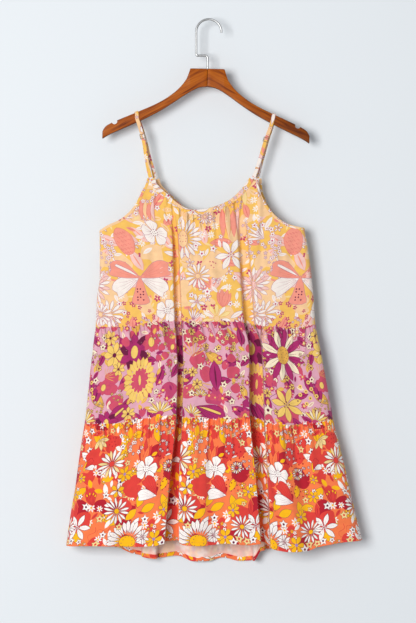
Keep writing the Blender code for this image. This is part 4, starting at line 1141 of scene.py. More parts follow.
# Larger creases, listed for each face: across, first down, length, how far out, half width, lean
CREASES = {
    ("bodice", "front"): (
        (-62, 60, 190, 2.4, 16, -0.04), (-104, 36, 120, -1.8, 9, -0.10), (-86, 62, 92, -2.2, 6, -0.03),
        (-28, 78, 150, -2.0, 8, -0.02), (-44, 76, 100, 2.0, 8, 0.0), (-6, 74, 96, 1.8, 9, 0.02),
        (14, 72, 150, -2.2, 8, 0.03), (34, 62, 170, 2.2, 12, 0.10), (52, 52, 120, -2.0, 7, 0.12),
        (98, 30, 150, 2.4, 15, 0.20), (-180, 120, 180, 2.0, 30, 0.05), (-140, 150, 150, -2.0, 24, -0.05),
        (150, 120, 180, 2.2, 28, 0.06), (186, 150, 150, -1.6, 22, 0.05), (10, 190, 125, 2.2, 30, 0.0),
        (118, 96, 120, -1.8, 12, 0.10),
    ),
    ("bodice", "back"): (
        (-52, 70, 180, 2.2, 14, -0.05), (-20, 84, 120, -1.8, 8, 0.0), (12, 84, 150, 2.0, 10, 0.04),
        (44, 70, 130, -2.0, 8, 0.08), (-96, 40, 130, -1.8, 10, -0.08), (90, 40, 140, 2.0, 12, 0.1),
        (-170, 130, 170, 2.0, 28, 0.0), (150, 130, 170, 2.0, 28, 0.04),
    ),
    ("middle_tier", "front"): (
        (-236, 10, 210, 2.2, 26, -0.03), (-192, 0, 230, -2.4, 22, -0.04), (-150, 0, 220, 2.6, 20, 0.02),
        (-40, 0, 220, 2.2, 16, 0.03), (-8, 0, 160, -2.0, 14, 0.0), (38, 0, 210, 2.6, 18, -0.05),
        (146, 0, 220, 2.4, 14, 0.03), (178, 0, 180, -2.4, 14, 0.05), (214, 0, 230, 2.6, 20, 0.06),
        (250, 30, 190, -1.8, 18, 0.06),
    ),
    ("bottom_tier", "front"): (
        (-322, 0, 270, -2.2, 20, -0.05), (-286, 0, 280, 3.0, 26, -0.04), (-246, 0, 250, -3.0, 18, 0.02),
        (-214, 0, 280, 3.2, 18, 0.03), (-184, 0, 200, -2.6, 11, 0.02), (-44, 0, 240, 3.0, 18, -0.03),
        (-14, 0, 250, -2.8, 14, 0.02), (16, 0, 280, 3.2, 20, 0.0), (46, 0, 170, -2.6, 11, 0.04),
        (190, 0, 240, 2.8, 14, 0.0), (214, 0, 220, -3.0, 12, 0.03), (244, 0, 280, 3.6, 22, 0.04),
        (280, 0, 250, -2.8, 18, 0.05), (318, 0, 270, 2.6, 22, 0.05),
    ),
    ("middle_tier", "back"): (
        (-220, 0, 220, 2.4, 26, 0.0), (-176, 0, 210, -2.4, 20, 0.03), (-60, 0, 220, 2.6, 22, 0.0),
        (-16, 0, 200, -2.2, 16, 0.03), (30, 0, 220, 2.4, 20, 0.0), (130, 0, 220, 2.4, 20, 0.04),
        (176, 0, 210, -2.4, 18, 0.04), (224, 0, 220, 2.2, 24, 0.05),
    ),
    ("bottom_tier", "back"): (
        (-290, 0, 280, 3.0, 28, -0.04), (-246, 0, 260, -2.8, 20, 0.0), (-206, 0, 280, 3.0, 22, 0.03),
        (-70, 0, 260, 3.0, 22, 0.0), (-34, 0, 260, -2.8, 16, 0.0), (6, 0, 280, 3.2, 22, 0.02),
        (44, 0, 220, -2.6, 14, 0.03), (180, 0, 260, 3.0, 22, 0.03), (222, 0, 260, -2.8, 18, 0.05),
        (270, 0, 280, 3.0, 26, 0.05),
    ),
}


def inside_outline(outline, points):
    """Which points lie inside a closed outline."""
    if len(points) > BATCH:
        parts = [inside_outline(outline, points[k:k + BATCH]) for k in range(0, len(points), BATCH)]
        return np.concatenate(parts)
    x, y = points[:, :1], points[:, 1:]
    ax, ay = outline[:, 0][None], outline[:, 1][None]
    bx, by = np.roll(outline[:, 0], -1)[None], np.roll(outline[:, 1], -1)[None]
    spans = (ay > y) != (by > y)
    rise = np.where(by == ay, 1e-12, by - ay)
    cross = x < (bx - ax) * (y - ay) / rise + ax
    return (np.sum(spans & cross, axis=1) % 2) == 1


def shown_edges(art):
    """Points and edges of the shapes, without the stretches that later shapes cover."""
    boxes = np.array([(*o.min(0), *o.max(0)) for o, _ in art]).reshape(-1, 4)
    points, edges, total = [], [], 0
    for k, (outline, _) in enumerate(art):
        count = len(outline)
        keep = np.ones(count, bool)
        later = boxes[k + 1:]
        over = np.nonzero((later[:, 0] < boxes[k, 2]) & (later[:, 2] > boxes[k, 0])
                          & (later[:, 1] < boxes[k, 3]) & (later[:, 3] > boxes[k, 1]))[0]
        for n in over:
            covered = inside_outline(art[k + 1 + n][0], outline)
            keep &= ~(covered & np.roll(covered, -1))
            if not keep.any():
                break
        start = np.nonzero(keep)[0]
        if len(start):
            points.append(outline)
            edges.append(np.stack([start, (start + 1) % count], 1) + total)
            total += count
    if not points:
        return np.zeros((0, 2)), np.zeros((0, 2), int)
    points, edges = np.concatenate(points), np.concatenate(edges)
    used, edges = np.unique(edges, return_inverse=True)
    return points[used], edges.reshape(-1, 2)


def ink_at(places, art):
    """The ink of the topmost shape at each flat place, or -1 on the ground."""
    ink = np.full(len(places), -1)
    order = np.argsort(places[:, 0])
    sorted_x = places[order, 0]
    for shape, colour in art:
        first, last = np.searchsorted(sorted_x, (shape[:, 0].min(), shape[:, 0].max()))
        near = order[first:last]
        near = near[(places[near, 1] > shape[:, 1].min()) & (places[near, 1] < shape[:, 1].max())]
        if len(near):
            ink[near[inside_outline(shape, places[near])]] = colour
    return ink


def cut_flat(outline, spots, art):
    """Triangles of the flat cut: points, triangles and each triangle's ink."""
    drawn, edges = shown_edges(art)
    rim = np.arange(len(outline))
    rim_edges = np.stack([rim, np.roll(rim, -1)], 1)
    points = np.concatenate([outline, drawn, spots])
    edges = np.concatenate([rim_edges, edges + len(outline)])
    made = delaunay_2d_cdt([Vector(p) for p in points], edges.tolist(), [], 0, 1e-5, False)
    flat = np.array([tuple(p) for p in made[0]])
    triangles = np.array(made[2])
    middles = flat[triangles].mean(1)
    triangles = triangles[inside_outline(outline, middles)]
    return flat, triangles, ink_at(flat[triangles].mean(1), art)


def rim_of(triangles):
    """The edges that only one triangle uses, in that triangle's direction."""
    edges = np.concatenate([triangles[:, [0, 1]], triangles[:, [1, 2]], triangles[:, [2, 0]]])
    ordered = np.sort(edges, axis=1)
    _, first, count = np.unique(ordered, axis=0, return_index=True, return_counts=True)
    return edges[first[count == 1]]


def linear(ink):
    """The three linear values of an ink."""
    c = np.array(INKS[ink]) / 255
    return np.where(c <= 0.04045, c / 12.92, ((c + 0.055) / 1.055) ** 2.4)


def pale(colour, share=0.62, to="wrong_side"):
    return colour * (1 - share) + linear(to) * share


def against(points, faces, normals):
    """Whether faces turn away from the normals at their corners."""
    corner = points[faces]
    sense = np.cross(corner[:, 1] - corner[:, 0], corner[:, 2] - corner[:, 0])
    return np.sum(sense * normals[faces[:, 0]]) < 0


def make_sheet(name, slot, ground, surface, outline, art, spots, thick=THIN, wrong_share=0.7):
    """A closed thin shell of printed cloth. surface gives points and outward normals, in
    millimetres, for flat places; the print is on its outer side and shows paler on its inner."""
    flat, faces, ink = cut_flat(outline, spots, art)
    points, normals = surface(flat[:, 0], flat[:, 1])
    rim = rim_of(faces)
    rim_points = np.unique(rim)
    number = np.full(len(flat), -1)
    number[rim_points] = np.arange(len(rim_points))
    inner_rim = number[rim]
    kept = spots[inside_outline(outline, spots)]
    made = delaunay_2d_cdt([Vector(p) for p in np.concatenate([flat[rim_points], kept])],
                           inner_rim.tolist(), [], 0, 1e-7, False)
    flat_in = np.array([tuple(p) for p in made[0]])
    faces_in = np.array(made[2])
    faces_in = faces_in[inside_outline(outline, flat_in[faces_in].mean(1))]
    ink_in = ink_at(flat_in, art)
    inner, normals_in = surface(flat_in[:, 0], flat_in[:, 1])
    inner = inner - normals_in * thick
    if against(points, faces, normals):
        faces, rim, inner_rim = faces[:, ::-1], rim[:, ::-1], inner_rim[:, ::-1]
    if not against(inner, faces_in, normals_in):
        faces_in = faces_in[:, ::-1]
    base = len(points)
    a, b = rim.T
    c, d = inner_rim[:, 1] + base, inner_rim[:, 0] + base
    sides = np.concatenate([np.stack([b, a, d], 1), np.stack([b, d, c], 1)])
    every = np.concatenate([faces, faces_in + base, sides])
    mesh = bpy.data.meshes.new(name)
    mesh.from_pydata((np.concatenate([points, inner]) * MM).tolist(), [], every.tolist())
    mesh.polygons.foreach_set("use_smooth", np.ones(len(every), bool))
    table = np.array([linear(n) for n in INKS])
    outer = np.where(ink[:, None] < 0, linear(ground), table[ink])
    through = pale(np.where(ink_in[:, None] < 0, linear(ground), table[ink_in]), wrong_share)
    loops = np.ones((len(every), 3, 4))
    loops[:len(faces), :, :3] = outer[:, None]
    loops[len(faces):-len(sides), :, :3] = through[faces_in]
    loops[-len(sides):, :, :3] = linear(ground) * 0.9
    mesh.color_attributes.new("print", "FLOAT_COLOR", "CORNER").data.foreach_set("color", loops.ravel())
    corners = np.concatenate([flat, flat_in])[every]
    mesh.uv_layers.new(name="flat").data.foreach_set("uv", (corners * MM).ravel())
    low, high = outline.min(0), outline.max(0)
    share = (corners - low) / np.maximum(high - low, 1e-6)
    up = 1 - share[..., 1]
    is_outer = (np.arange(len(every)) < len(faces))[:, None]
    # the outer side fills the map above a strip that the inner side and the rim share
    baked_up = np.where(is_outer, 0.18 + 0.81 * up, 0.01 + 0.14 * up)
    baked = np.stack([0.01 + 0.98 * share[..., 0], baked_up], -1)
    mesh.uv_layers.new(name="OFBake").data.foreach_set("uv", baked.ravel())
    per_loop = np.concatenate([normals[faces].reshape(-1, 3), -normals_in[faces_in].reshape(-1, 3)])
    flat_sides = np.zeros((len(sides) * 3, 3))
    mesh.validate()
    mesh.update()
    mesh.normals_split_custom_set(np.concatenate([per_loop, flat_sides]).tolist())
    return placed(name, mesh, cloth_material(slot), slot)


def placed(name, mesh, material, slot=None):
    """A new piece of the dress from its mesh."""
    thing = bpy.data.objects.new(name, mesh)
    bpy.context.collection.objects.link(thing)
    mesh.materials.append(material)
    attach(thing, "root")
    return thing


def with_normals(points_at, hand):
    """A surface function that also gives normals, from one that gives points. hand is 1 if
    across, turned onto down, points into the cloth's outer side, and -1 if not."""
    step = 0.35  # a short way along the cloth, either side of each place

    def surface(across, down):
        points = points_at(across, down)
        along = points_at(across + step, down) - points_at(across - step, down)
        below = points_at(across, down + step) - points_at(across, down - step)
        return points, unit(np.cross(below, along) * hand)

    return surface


def panel_surface(face, place, folds, height=None):
    """The hung surface of a panel: its form with its small folds on it. Past its height it is
    turned up inside as a hem, and above its top it goes behind the piece it is sewn to."""

    def outside(across, down):
        x, y, level = place(across, down)
        left, right = side_seams(level)
        calm = np.clip(np.minimum(x - left, right - x) / 14, 0, 1)
        return np.stack([x, y + FACING[face] * calm * relief(folds, across, down), level], -1)

    plain = with_normals(outside, -FACING[face])
    if height is None:
        return plain

    def points_at(across, down):
        turn = np.clip((down - height) / HEM_BEND, 0, np.pi)
        kept = np.where(down > height, np.minimum(height, 2 * height + np.pi * HEM_BEND - down), down)
        points, normal = plain(across, kept)
        points = points - normal * (HEM_BEND * (1 - np.cos(turn)))[:, None]
        points = points - normal * (np.clip(-down / 1.5, 0, 1) * BEHIND)[:, None]
        points[:, 2] -= HEM_BEND * np.sin(turn)
        return points

    return with_normals(points_at, -FACING[face])


def spread_spots(low, high, rows):
    """Spots over the flat: rows of from, to, how far apart across, how far apart down."""
    spots = []
    for start, end, across, down in rows:
        x = np.linspace(low[0], high[0], max(2, round((high[0] - low[0]) / across)) + 1)[1:-1]
        y = np.arange(start, end, down) + down / 2
        grid = np.stack(np.meshgrid(x, y), -1)
        grid[1::2, :, 0] += across / 2
        spots.append(grid.reshape(-1, 2))
    spots = np.concatenate(spots)
    return spots[np.all((spots > low + 0.6) & (spots < high - 0.6), axis=1)]


LEAST_TURN, TURN_A_SPOT = 0.06, 0.45  # radians of bend


def bend_spots(surface, left, right, rows):
    """More spots where a fold bends the cloth sharply, so that it stays round there."""
    across, spots = np.arange(left, right, 0.4), []
    for down in rows:
        along = unit(np.diff(surface(across, np.full_like(across, down))[0], axis=0))
        turn = np.arccos(np.clip((along[1:] * along[:-1]).sum(1), -1, 1))
        steps = np.floor(np.cumsum(np.where(turn > LEAST_TURN, turn, 0)) / TURN_A_SPOT)
        at = across[1:-2][np.diff(steps) > 0]
        spots.append(np.stack([at, np.full_like(at, down)], 1))
    return np.concatenate(spots)


def oblong(across, down):
    """The closed outline of a straight strip, from the places along its edges."""
    return np.concatenate([
        np.stack([across, np.full_like(across, down[0])], 1),
        np.stack([np.full_like(down, across[-1]), down], 1)[1:-1],
        np.stack([across[::-1], np.full_like(across, down[-1])], 1),
        np.stack([np.full_like(down, across[0]), down[::-1]], 1)[1:-1],
    ])


# The pieces of the dress

BACK_PRINT = 120.0  # the back's print is cut from another stretch of the roll
BOTTOM_PRINT = 26.0  # where the bottom tier's print starts from its left side
NECK_GATHERS = (-85.0, 70.0)  # first and last gather below the neck casing
GATHERED, BELOW_GATHERS = 26.0, 60.0  # how far down a tier its points are closest, and close
TIERS = {  # upper edge, lower edge, slot, ground, size of the gathers
    "middle_tier": (SEAM_1, SEAM_2, "middle_cloth", "pink_ground", 0.8),
    "bottom_tier": (SEAM_2, HEM, "bottom_cloth", "orange_ground", 1.0),
}


def bodice_panel(face):
    place, flat = bodice_hang(face)
    outline, neckline = bodice_outline(face, flat)
    low, high = outline.min(0), outline.max(0)
    neckline = neckline[np.argsort(neckline[:, 0])]

    def under_the_neck(at):
        return np.interp(at, neckline[:, 0], neckline[:, 1])

    folds = creases("bodice", face) + gathers(*NECK_GATHERS, 0.8, 2, under_the_neck)
    surface = panel_surface(face, place, folds)
    art = drawn_print("bodice", low, high, (0.0 if face == "front" else BACK_PRINT, 0.0))
    spots = spread_spots(low, high, ((low[1], 100.0, 1.7, 3.4), (100.0, high[1], 3.6, 4.6)))
    bends = bend_spots(surface, low[0] + 8, high[0] - 8, np.arange(low[1] + 90, high[1] - 2, 4.6))
    spots = np.concatenate([spots, bends[inside_outline(outline, bends)]])
    panel = make_sheet(f"bodice_{face}_cloth", "bodice_cloth", "gold_ground", surface, outline, art, spots)
    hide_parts(f"bodice_{face}")
    size = (high - low) * MM
    ahead = np.roll(outline, -1, 0)
    area = abs(np.sum(outline[:, 0] * ahead[:, 1] - outline[:, 1] * ahead[:, 0])) / 2 * MM**2
    return panel, tuple(size), area, surface


def tier_panel(piece, face):
    top, bottom, slot, ground, gathered = TIERS[piece]
    width, height, place = tier_hang(face, top[face], bottom[face])
    hemmed = bottom is HEM
    end = height + np.pi * HEM_BEND + HEM_DEEP if hemmed else height
    across = np.linspace(-width / 2, width / 2, round(width / 2.6))
    outline = oblong(across, np.linspace(-ALLOWANCE, end, 90))
    low, high = outline.min(0), outline.max(0)
    folds = creases(piece, face)
    folds += gathers(-width / 2 + 8, width / 2 - 6, gathered, 0 if face == "front" else 5)
    surface = panel_surface(face, place, folds, height)
    shift = BOTTOM_PRINT - width / 2 if hemmed else 0.0
    art = drawn_print(piece, low, high, (shift if face == "front" else shift + BACK_PRINT, 0.0))
    rows = [(-ALLOWANCE, GATHERED, 1.6, 3.6), (GATHERED, BELOW_GATHERS, 2.6, 5.0),
            (BELOW_GATHERS, height - 3, 5.2, 6.0)]
    rows += [(height - 2, height + 4, 4.0, 0.7), (height + 4, end, 4.0, 3.0)] if hemmed else [
        (height - 3, height, 3.8, 2.6)]
    spots = spread_spots(low, high, rows)
    bends = bend_spots(surface, low[0] + 2, high[0] - 2, np.arange(1.0, height - 2, 5.2))
    spots = np.concatenate([spots, bends])
    panel = make_sheet(f"{piece}_{face}_cloth", slot, ground, surface, outline, art, spots, wrong_share=0.74)
    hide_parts(f"{piece}_{face}")
    return panel, tuple((high - low) * MM), None, surface


BAND_THIN = 0.45  # thickness of the cloth in the bindings and straps


def folded_band(points_of, width, bulge, puff=None):
    """A strip folded over an edge. points_of gives the edge's places and outward normals for
    runs along it and distances inside it. The strip's outer half is in front."""
    fold = np.pi * bulge
    high = 2 * width + fold

    def points_at(across, down):
        inside = np.clip(np.where(down < width, width - down, down - width - fold), 0, None)
        turn = np.clip((down - width) / bulge, 0, np.pi)
        points, normal, inward = points_of(across, inside)
        swell = puff(across, inside) if puff else 0
        points = points - inward * (bulge * np.sin(turn))[:, None]
        return points + normal * ((bulge + swell) * np.cos(turn))[:, None]

    return points_at, high


def edge_places(face, edge):
    """Places on a panel's face at runs along a finished edge and distances inside it."""
    path, inward, run = edge

    def points_of(runs, inside):
        runs = np.clip(runs, 0, run[-1])
        way = along_run(runs, run, inward)
        spot = along_run(runs, run, path) + way * inside[:, None]
        left, right = side_seams(spot[:, 1])
        x = np.clip(spot[:, 0], left, right)
        normal = cloth_normal(face, x, spot[:, 1])
        points = np.stack([x, cloth_y(face, x, spot[:, 1]), spot[:, 1]], -1)
        inward3 = np.stack([way[:, 0], np.zeros(len(way)), way[:, 1]], -1)
        return points, normal, inward3

    return points_of


def band_sheet(node, points_at, length, high, hand, shift, across, down):
    """A strip's sheet, in place of its CAD node. across and down set how fine its points are."""
    runs = np.linspace(0, length, max(3, round(length / across)) + 1)
    outline = oblong(runs, np.linspace(0, high, max(4, round(high / down)) + 1))
    low, far = outline.min(0), outline.max(0)
    art = [(o - shift, ink) for o, ink in drawn_print("bodice", low + shift, far + shift)]
    spots = spread_spots(low, far, ((0.0, high, across, down),))
    band = make_sheet(f"{node}_cloth", "bodice_cloth", "gold_ground", with_normals(points_at, hand),
                      outline, art, spots, BAND_THIN)
    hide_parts(node)
    return band


def neck_casing(face):
    edge = finished_edges(face)["neck"]
    length = float(edge[2][-1])

    def puckers(runs, inside):
        wave = np.sin(runs * 0.78 + 1.3 * np.sin(runs * 0.21)) + 0.6 * np.sin(runs * 1.31 + 2.0)
        return 0.45 * wave * np.sin(np.pi * np.clip(inside / NECK_CASING, 0.1, 0.9))

    points_at, high = folded_band(edge_places(face, edge), NECK_CASING, 1.1, puckers)
    shift = np.array([-60.0, 150.0 if face == "front" else 40.0])
    return band_sheet(f"neck_casing_{face}", points_at, length, high, FACING[face], shift, 2.6, 1.2)


def armhole_binding(side):
    edges = {face: finished_edges(face)[side] for face in FACING}
    places = {face: edge_places(face, edges[face]) for face in FACING}
    ends = {face: float(edges[face][2][-1]) for face in FACING}
    total = ends["front"] + ends["back"]

    def points_of(runs, inside):
        ahead = places["front"](np.minimum(runs, ends["front"]), inside)
        behind = places["back"](np.minimum(total - runs, ends["back"]), inside)
        share = np.clip((runs - ends["front"]) / 8 + 0.5, 0, 1)[:, None]
        share = share * share * (3 - 2 * share)
        return [a * (1 - share) + b * share for a, b in zip(ahead, behind)]

    points_at, high = folded_band(points_of, ARM_BINDING, 0.8)
    shift = np.array([40.0, 60.0 if side == "left" else 160.0])
    return band_sheet(f"armhole_binding_{side}", points_at, total, high, -HAND[side], shift, 2.6, 1.1)


def strap(side):
    """A folded and topstitched strip, over the hanger from corner to corner."""
    arch = over_the_arm(side)
    front, back = strand(side, "front"), strand(side, "back")
    route = np.array([*reversed(front), *(place for place, _ in arch), *back], float)
    along = np.gradient(route, axis=0)
    level_way = unit(np.stack([along[:, 2], -along[:, 0]], 1))
    across = np.zeros_like(route)
    across[:, [0, 2]] = level_way * np.sign(level_way[:, :1])
    for i, (_, slope) in enumerate(arch):
        across[len(front) + i, [0, 2]] = slope
    run = run_of(route)
    centre = smooth_path(route, 1.5)
    fine = np.linspace(0, run[-1], len(centre))
    wide = along_run(fine, run, across)
    kernel = np.ones(7) / 7
    for k in range(3):
        wide[3:-3, k] = np.convolve(wide[:, k], kernel, "valid")
    ahead = unit(np.gradient(centre, axis=0))
    wide = unit(wide - ahead * np.sum(wide * ahead, 1)[:, None])
    out = np.cross(wide, ahead)
    half, thick = STRAP["width"] / 2, STRAP["thick"] / 2
    straight, bend = 2 * (half - thick), np.pi * thick
    girth = 2 * (straight + bend)

    def points_at(runs, down):
        s = (down % girth + straight / 2) % girth  # the lap lies in the middle of the inner side
        first_turn = np.clip((s - straight) / thick, 0, np.pi)
        last_turn = np.clip((s - 2 * straight - bend) / thick, 0, np.pi)
        on_back = np.clip(s, 0, straight)
        on_front = np.clip(s - straight - bend, 0, straight)
        side_way = on_back - on_front - straight / 2 + thick * (np.sin(first_turn) - np.sin(last_turn))
        height = -thick * (np.cos(first_turn) + 1 - np.cos(last_turn))
        edge = np.clip(1 - np.abs(side_way) / half, 0, 1)
        height *= 0.82 + 0.25 * np.sin(np.pi * np.clip(edge, 0, 0.5) * 2) - 0.12 * (edge > 0.92)
        c, w, o = (along_run(runs, fine, table) for table in (centre, wide, out))
        return c + w * side_way[:, None] + o * height[:, None]

    shift = np.array([-150.0, 20.0 if side == "left" else 120.0])
    return band_sheet(f"strap_{side}", points_at, float(run[-1]), girth, -1.0, shift, 2.2, 1.0)


def stitch_line(name, points, normals, ink, long=2.3, gap=1.1, out=0.1):
    """One row of sewing stitches along places on the cloth, as low rounded lozenges."""
    run = run_of(points)
    verts, faces = [], []
    section = [(0.0, 0.22), (0.16, 0.12), (0.16, -0.1), (-0.16, -0.1), (-0.16, 0.12)]
    for start in np.arange(gap, run[-1] - long, long + gap):
        base = len(verts)
        for share, size in ((0.0, 0.35), (0.25, 1.0), (0.75, 1.0), (1.0, 0.35)):
            at = np.array([start + long * share])
            p, n = (Vector(along_run(at, run, table)[0]) for table in (points, normals))
            ahead = (Vector(along_run(at + 0.2, run, points)[0]) - p).normalized()
            n.normalize()
            side_way = ahead.cross(n)
            dip = 0.1 if share in (0.0, 1.0) else 0.0
            verts += [p + side_way * w * size + n * (h * size + out - dip) for w, h in section]
        for k in range(3):
            for j in range(5):
                a, b = base + 5 * k + j, base + 5 * k + (j + 1) % 5
                faces.append((a, b, b + 5, a + 5))
        faces += [tuple(base + j for j in reversed(range(5))), tuple(base + 15 + j for j in range(5))]
    mesh = bpy.data.meshes.new(name)
    mesh.from_pydata([v * MM for v in verts], [], faces)
    shape = bmesh.new()
    shape.from_mesh(mesh)
    bmesh.ops.recalc_face_normals(shape, faces=shape.faces)
    shape.to_mesh(mesh)
    shape.free()
    mesh.shade_smooth()
    return placed(name, mesh, thread_material(ink))


# Materials


def new_material(name):
    material = bpy.data.materials.new(name)
    material.use_nodes = True
    return material, material.node_tree.nodes["Principled BSDF"]


def feed(owner, node, inputs):
    """Gives each named input of a node its value, or joins it to another node's output. The
    owner is the material or world that has the node."""
    for name, value in inputs.items():
        if isinstance(value, bpy.types.NodeSocket):
            owner.node_tree.links.new(value, node.inputs[name])
        else:
            node.inputs[name].default_value = value


def put(material, kind, inputs=(), **settings):
    node = material.node_tree.nodes.new(f"ShaderNode{kind}")
    for name, value in settings.items():
        setattr(node, name, value)
    feed(material, node, dict(inputs))
    return node


def noise(material, vector, scale, detail=2.0, **more):
    details = {name.title(): value for name, value in more.items()}
    inputs = {"Vector": vector, "Scale": scale, "Detail": detail, **details}
    return put(material, "TexNoise", inputs).outputs["Fac"]


def ranged(material, value, wanted, given=(0.0, 1.0)):
    """A value carried from one range to another."""
    limits = {"From Min": given[0], "From Max": given[1], "To Min": wanted[0], "To Max": wanted[1]}
    return put(material, "MapRange", {"Value": value, **limits}).outputs["Result"]


def multiplied(material, colour, tone):
    inputs = {"Factor": 1.0, "A": colour, "B": tone}
    return put(material, "Mix", inputs, data_type="RGBA", blend_type="MULTIPLY").outputs["Result"]


def coloured(material, value, first, last, between=()):
    """Colours for a value, from stops of place, red, green, blue."""
    node = put(material, "ValToRGB", {"Fac": value})
    stops = node.color_ramp.elements
    for k, (place, *colour) in enumerate((first, last)):
        stops[k].position, stops[k].color = place, (*colour, 1)
    for place, *colour in between:
        stops.new(place).color = (*colour, 1)
    return node.outputs["Color"]


def bumped(material, height, deep, strength, below=None):
    inputs = {"Height": height, "Distance": deep, "Strength": strength}
    if below:
        inputs["Normal"] = below
    return put(material, "Bump", inputs).outputs["Normal"]


def cloth_material(slot):
    """Printed plain weave: the ink from the cloth's own colours, threads along both ways."""
    name = f"{slot}_weave"
    if name in bpy.data.materials:
        return bpy.data.materials[name]
    material, shader = new_material(name)
    ink = put(material, "Attribute", attribute_name="print").outputs["Color"]
    flat = put(material, "UVMap", uv_map="flat").outputs["UV"]
    mottle = ranged(material, noise(material, flat, 90.0, 4.0), (0.93, 1.05), (0.3, 0.7))
    threads = {}
    for way, turn in enumerate((0, 90)):
        lie = put(material, "Mapping", {"Vector": flat, "Rotation": (0, 0, math.radians(turn))})
        wave = {"Vector": lie.outputs["Vector"], "Scale": 320.0, "Distortion": 1.4, "Detail": 1.0,
                "Detail Scale": 0.4}
        threads[way] = put(material, "TexWave", wave).outputs["Fac"]
    weave = put(material, "Math", threads, operation="ADD").outputs["Value"]
    fine = bumped(material, weave, 0.0001, 0.35)
    crumple = bumped(material, noise(material, flat, 70.0, 3.0), 0.0009, 0.35, fine)
    feed(material, shader, {
        "Base Color": multiplied(material, ink, mottle), "Normal": crumple,
        "Roughness": ranged(material, weave, (0.78, 0.92)), "Specular IOR Level": 0.2,
        "Sheen Weight": 0.12, "Sheen Roughness": 0.6,
    })
    return material


def thread_material(ink):
    name = f"thread_{ink}"
    if name in bpy.data.materials:
        return bpy.data.materials[name]
    material, shader = new_material(name)
    twist = noise(material, put(material, "TexCoord").outputs["Object"], 900.0)
    dark, light = linear(ink) * 0.8, np.minimum(linear(ink) * 1.1, 1)
    colour = coloured(material, twist, (0.35, *dark), (0.65, *light))
    feed(material, shader, {"Base Color": colour, "Roughness": 0.7})
    return material


def wood_material():
    """Stained and lacquered wood: the grain follows each arm. Painted shade darkens the faces that turn away
    from the front (the rounded edges, the top and the underside), and the right arm towards its end.
    """
    material, shader = new_material("stained_wood_painted_shade")
    place = put(material, "TexCoord").outputs
    x, y, z = put(material, "SeparateXYZ", {"Vector": place["Object"]}).outputs
    from_stem = put(material, "Math", {0: x}, operation="ABSOLUTE").outputs["Value"]
    both_arms = put(material, "CombineXYZ", {"X": from_stem, "Y": y, "Z": z}).outputs["Vector"]
    lie = {"Vector": both_arms, "Rotation": (0, math.radians(28), 0), "Scale": (0.075, 0.02, 0.0042)}
    along = put(material, "Mapping", lie, vector_type="TEXTURE")
    grain = noise(material, along.outputs["Vector"], 1.0, 6.0, roughness=0.6, distortion=0.7)
    colour = coloured(material, grain, (0.34, 0.12, 0.017, 0.001), (0.68, 0.48, 0.125, 0.006),
                      [(0.5, 0.35, 0.074, 0.003)])
    # painted shade: the colour darkens where the surface turns away from the front, down to 0.42 on the top,
    # underside and rounded edges
    facing = put(material, "SeparateXYZ", {"Vector": place["Normal"]}).outputs["Y"]
    front_facing_for_painted_shade = put(material, "Math", {0: facing}, operation="ABSOLUTE").outputs["Value"]
    # painted shade from both: the faces turned away from the front, and the right arm darker towards its end
    # (x from 0.06 to 0.20 m)
    for painted_shade_source, given, wanted in ((front_facing_for_painted_shade, (0.5, 0.98), (0.42, 1.0)), (x, (0.06, 0.20), (1.0, 0.55))):
        colour = multiplied(material, colour, ranged(material, painted_shade_source, wanted, given))
    feed(material, shader, {
        "Base Color": colour, "Normal": bumped(material, grain, 0.0002, 0.4), "Roughness": 0.42,
        "Specular IOR Level": 0.1, "Coat Weight": 0.03, "Coat Roughness": 0.2,
    })
    return material


def steel_material():
    material, shader = new_material("nickel_wire")
    marks = noise(material, put(material, "TexCoord").outputs["Object"], 160.0, 3.0)
    feed(material, shader, {
        "Base Color": ranged(material, marks, (0.36, 0.48)),
        "Roughness": ranged(material, marks, (0.28, 0.44)), "Metallic": 1.0,
    })
    return material


def plastic_material():
    material, shader = new_material("smoky_plastic")
    cloud = noise(material, put(material, "TexCoord").outputs["Object"], 300.0)
    colour = coloured(material, cloud, (0.0, 0.14, 0.075, 0.03), (1.0, 0.36, 0.22, 0.09))
    feed(material, shader, {"Base Color": colour, "Roughness": 0.3})
    return material


# The hanger and the hook


def finish_piece(thing, name, material, slot, *replaced):
    thing.name = thing.data.name = name
    thing.data.materials.clear()
    thing.data.materials.append(material)
    thing.select_set(False)
    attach(thing, "root")
    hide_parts(*replaced)


def make_hook():
    """Round wire: a circle, drawn up the stem and spun round each bend."""
    bpy.ops.mesh.primitive_circle_add(vertices=20, radius=WIRE / 2 * MM, fill_type="NGON",
                                      location=(STEM_X * MM, 0, (WOOD_TOP - STEM_IN_WOOD) * MM))
    hook = bpy.context.object
    bpy.ops.object.transform_apply(location=True)
    bpy.ops.object.mode_set(mode="EDIT")
    inside = HOOK_RADIUS - WIRE / 2
    outer, inner = CRANK_BENDS["outer"], CRANK_BENDS["inner"]
    straight = HOOK_CRANK - inner - (WOOD_TOP - STEM_IN_WOOD)
    bpy.ops.mesh.extrude_region_move(TRANSFORM_OT_translate={"value": (0, 0, straight * MM)})
    bends = (
        ((STEM_X - inner, HOOK_CRANK - inner), 90, 8, ((-HOOK_RADIUS + outer) - (STEM_X - inner), 0)),
        ((-HOOK_RADIUS + outer, HOOK_CRANK + outer), -90, 8, (0, -inside - HOOK_CRANK - outer)),
        ((0.0, -inside), -184, 48, (0, 0)),
    )
    for (x, z), angle, steps, (run_x, run_z) in bends:
        bpy.ops.mesh.spin(steps=steps, angle=math.radians(angle), center=(x * MM, 0, z * MM), axis=(0, 1, 0))
        if run_x or run_z:
            bpy.ops.mesh.extrude_region_move(TRANSFORM_OT_translate={"value": (run_x * MM, 0, run_z * MM)})
    bpy.ops.object.mode_set(mode="OBJECT")
    return hook


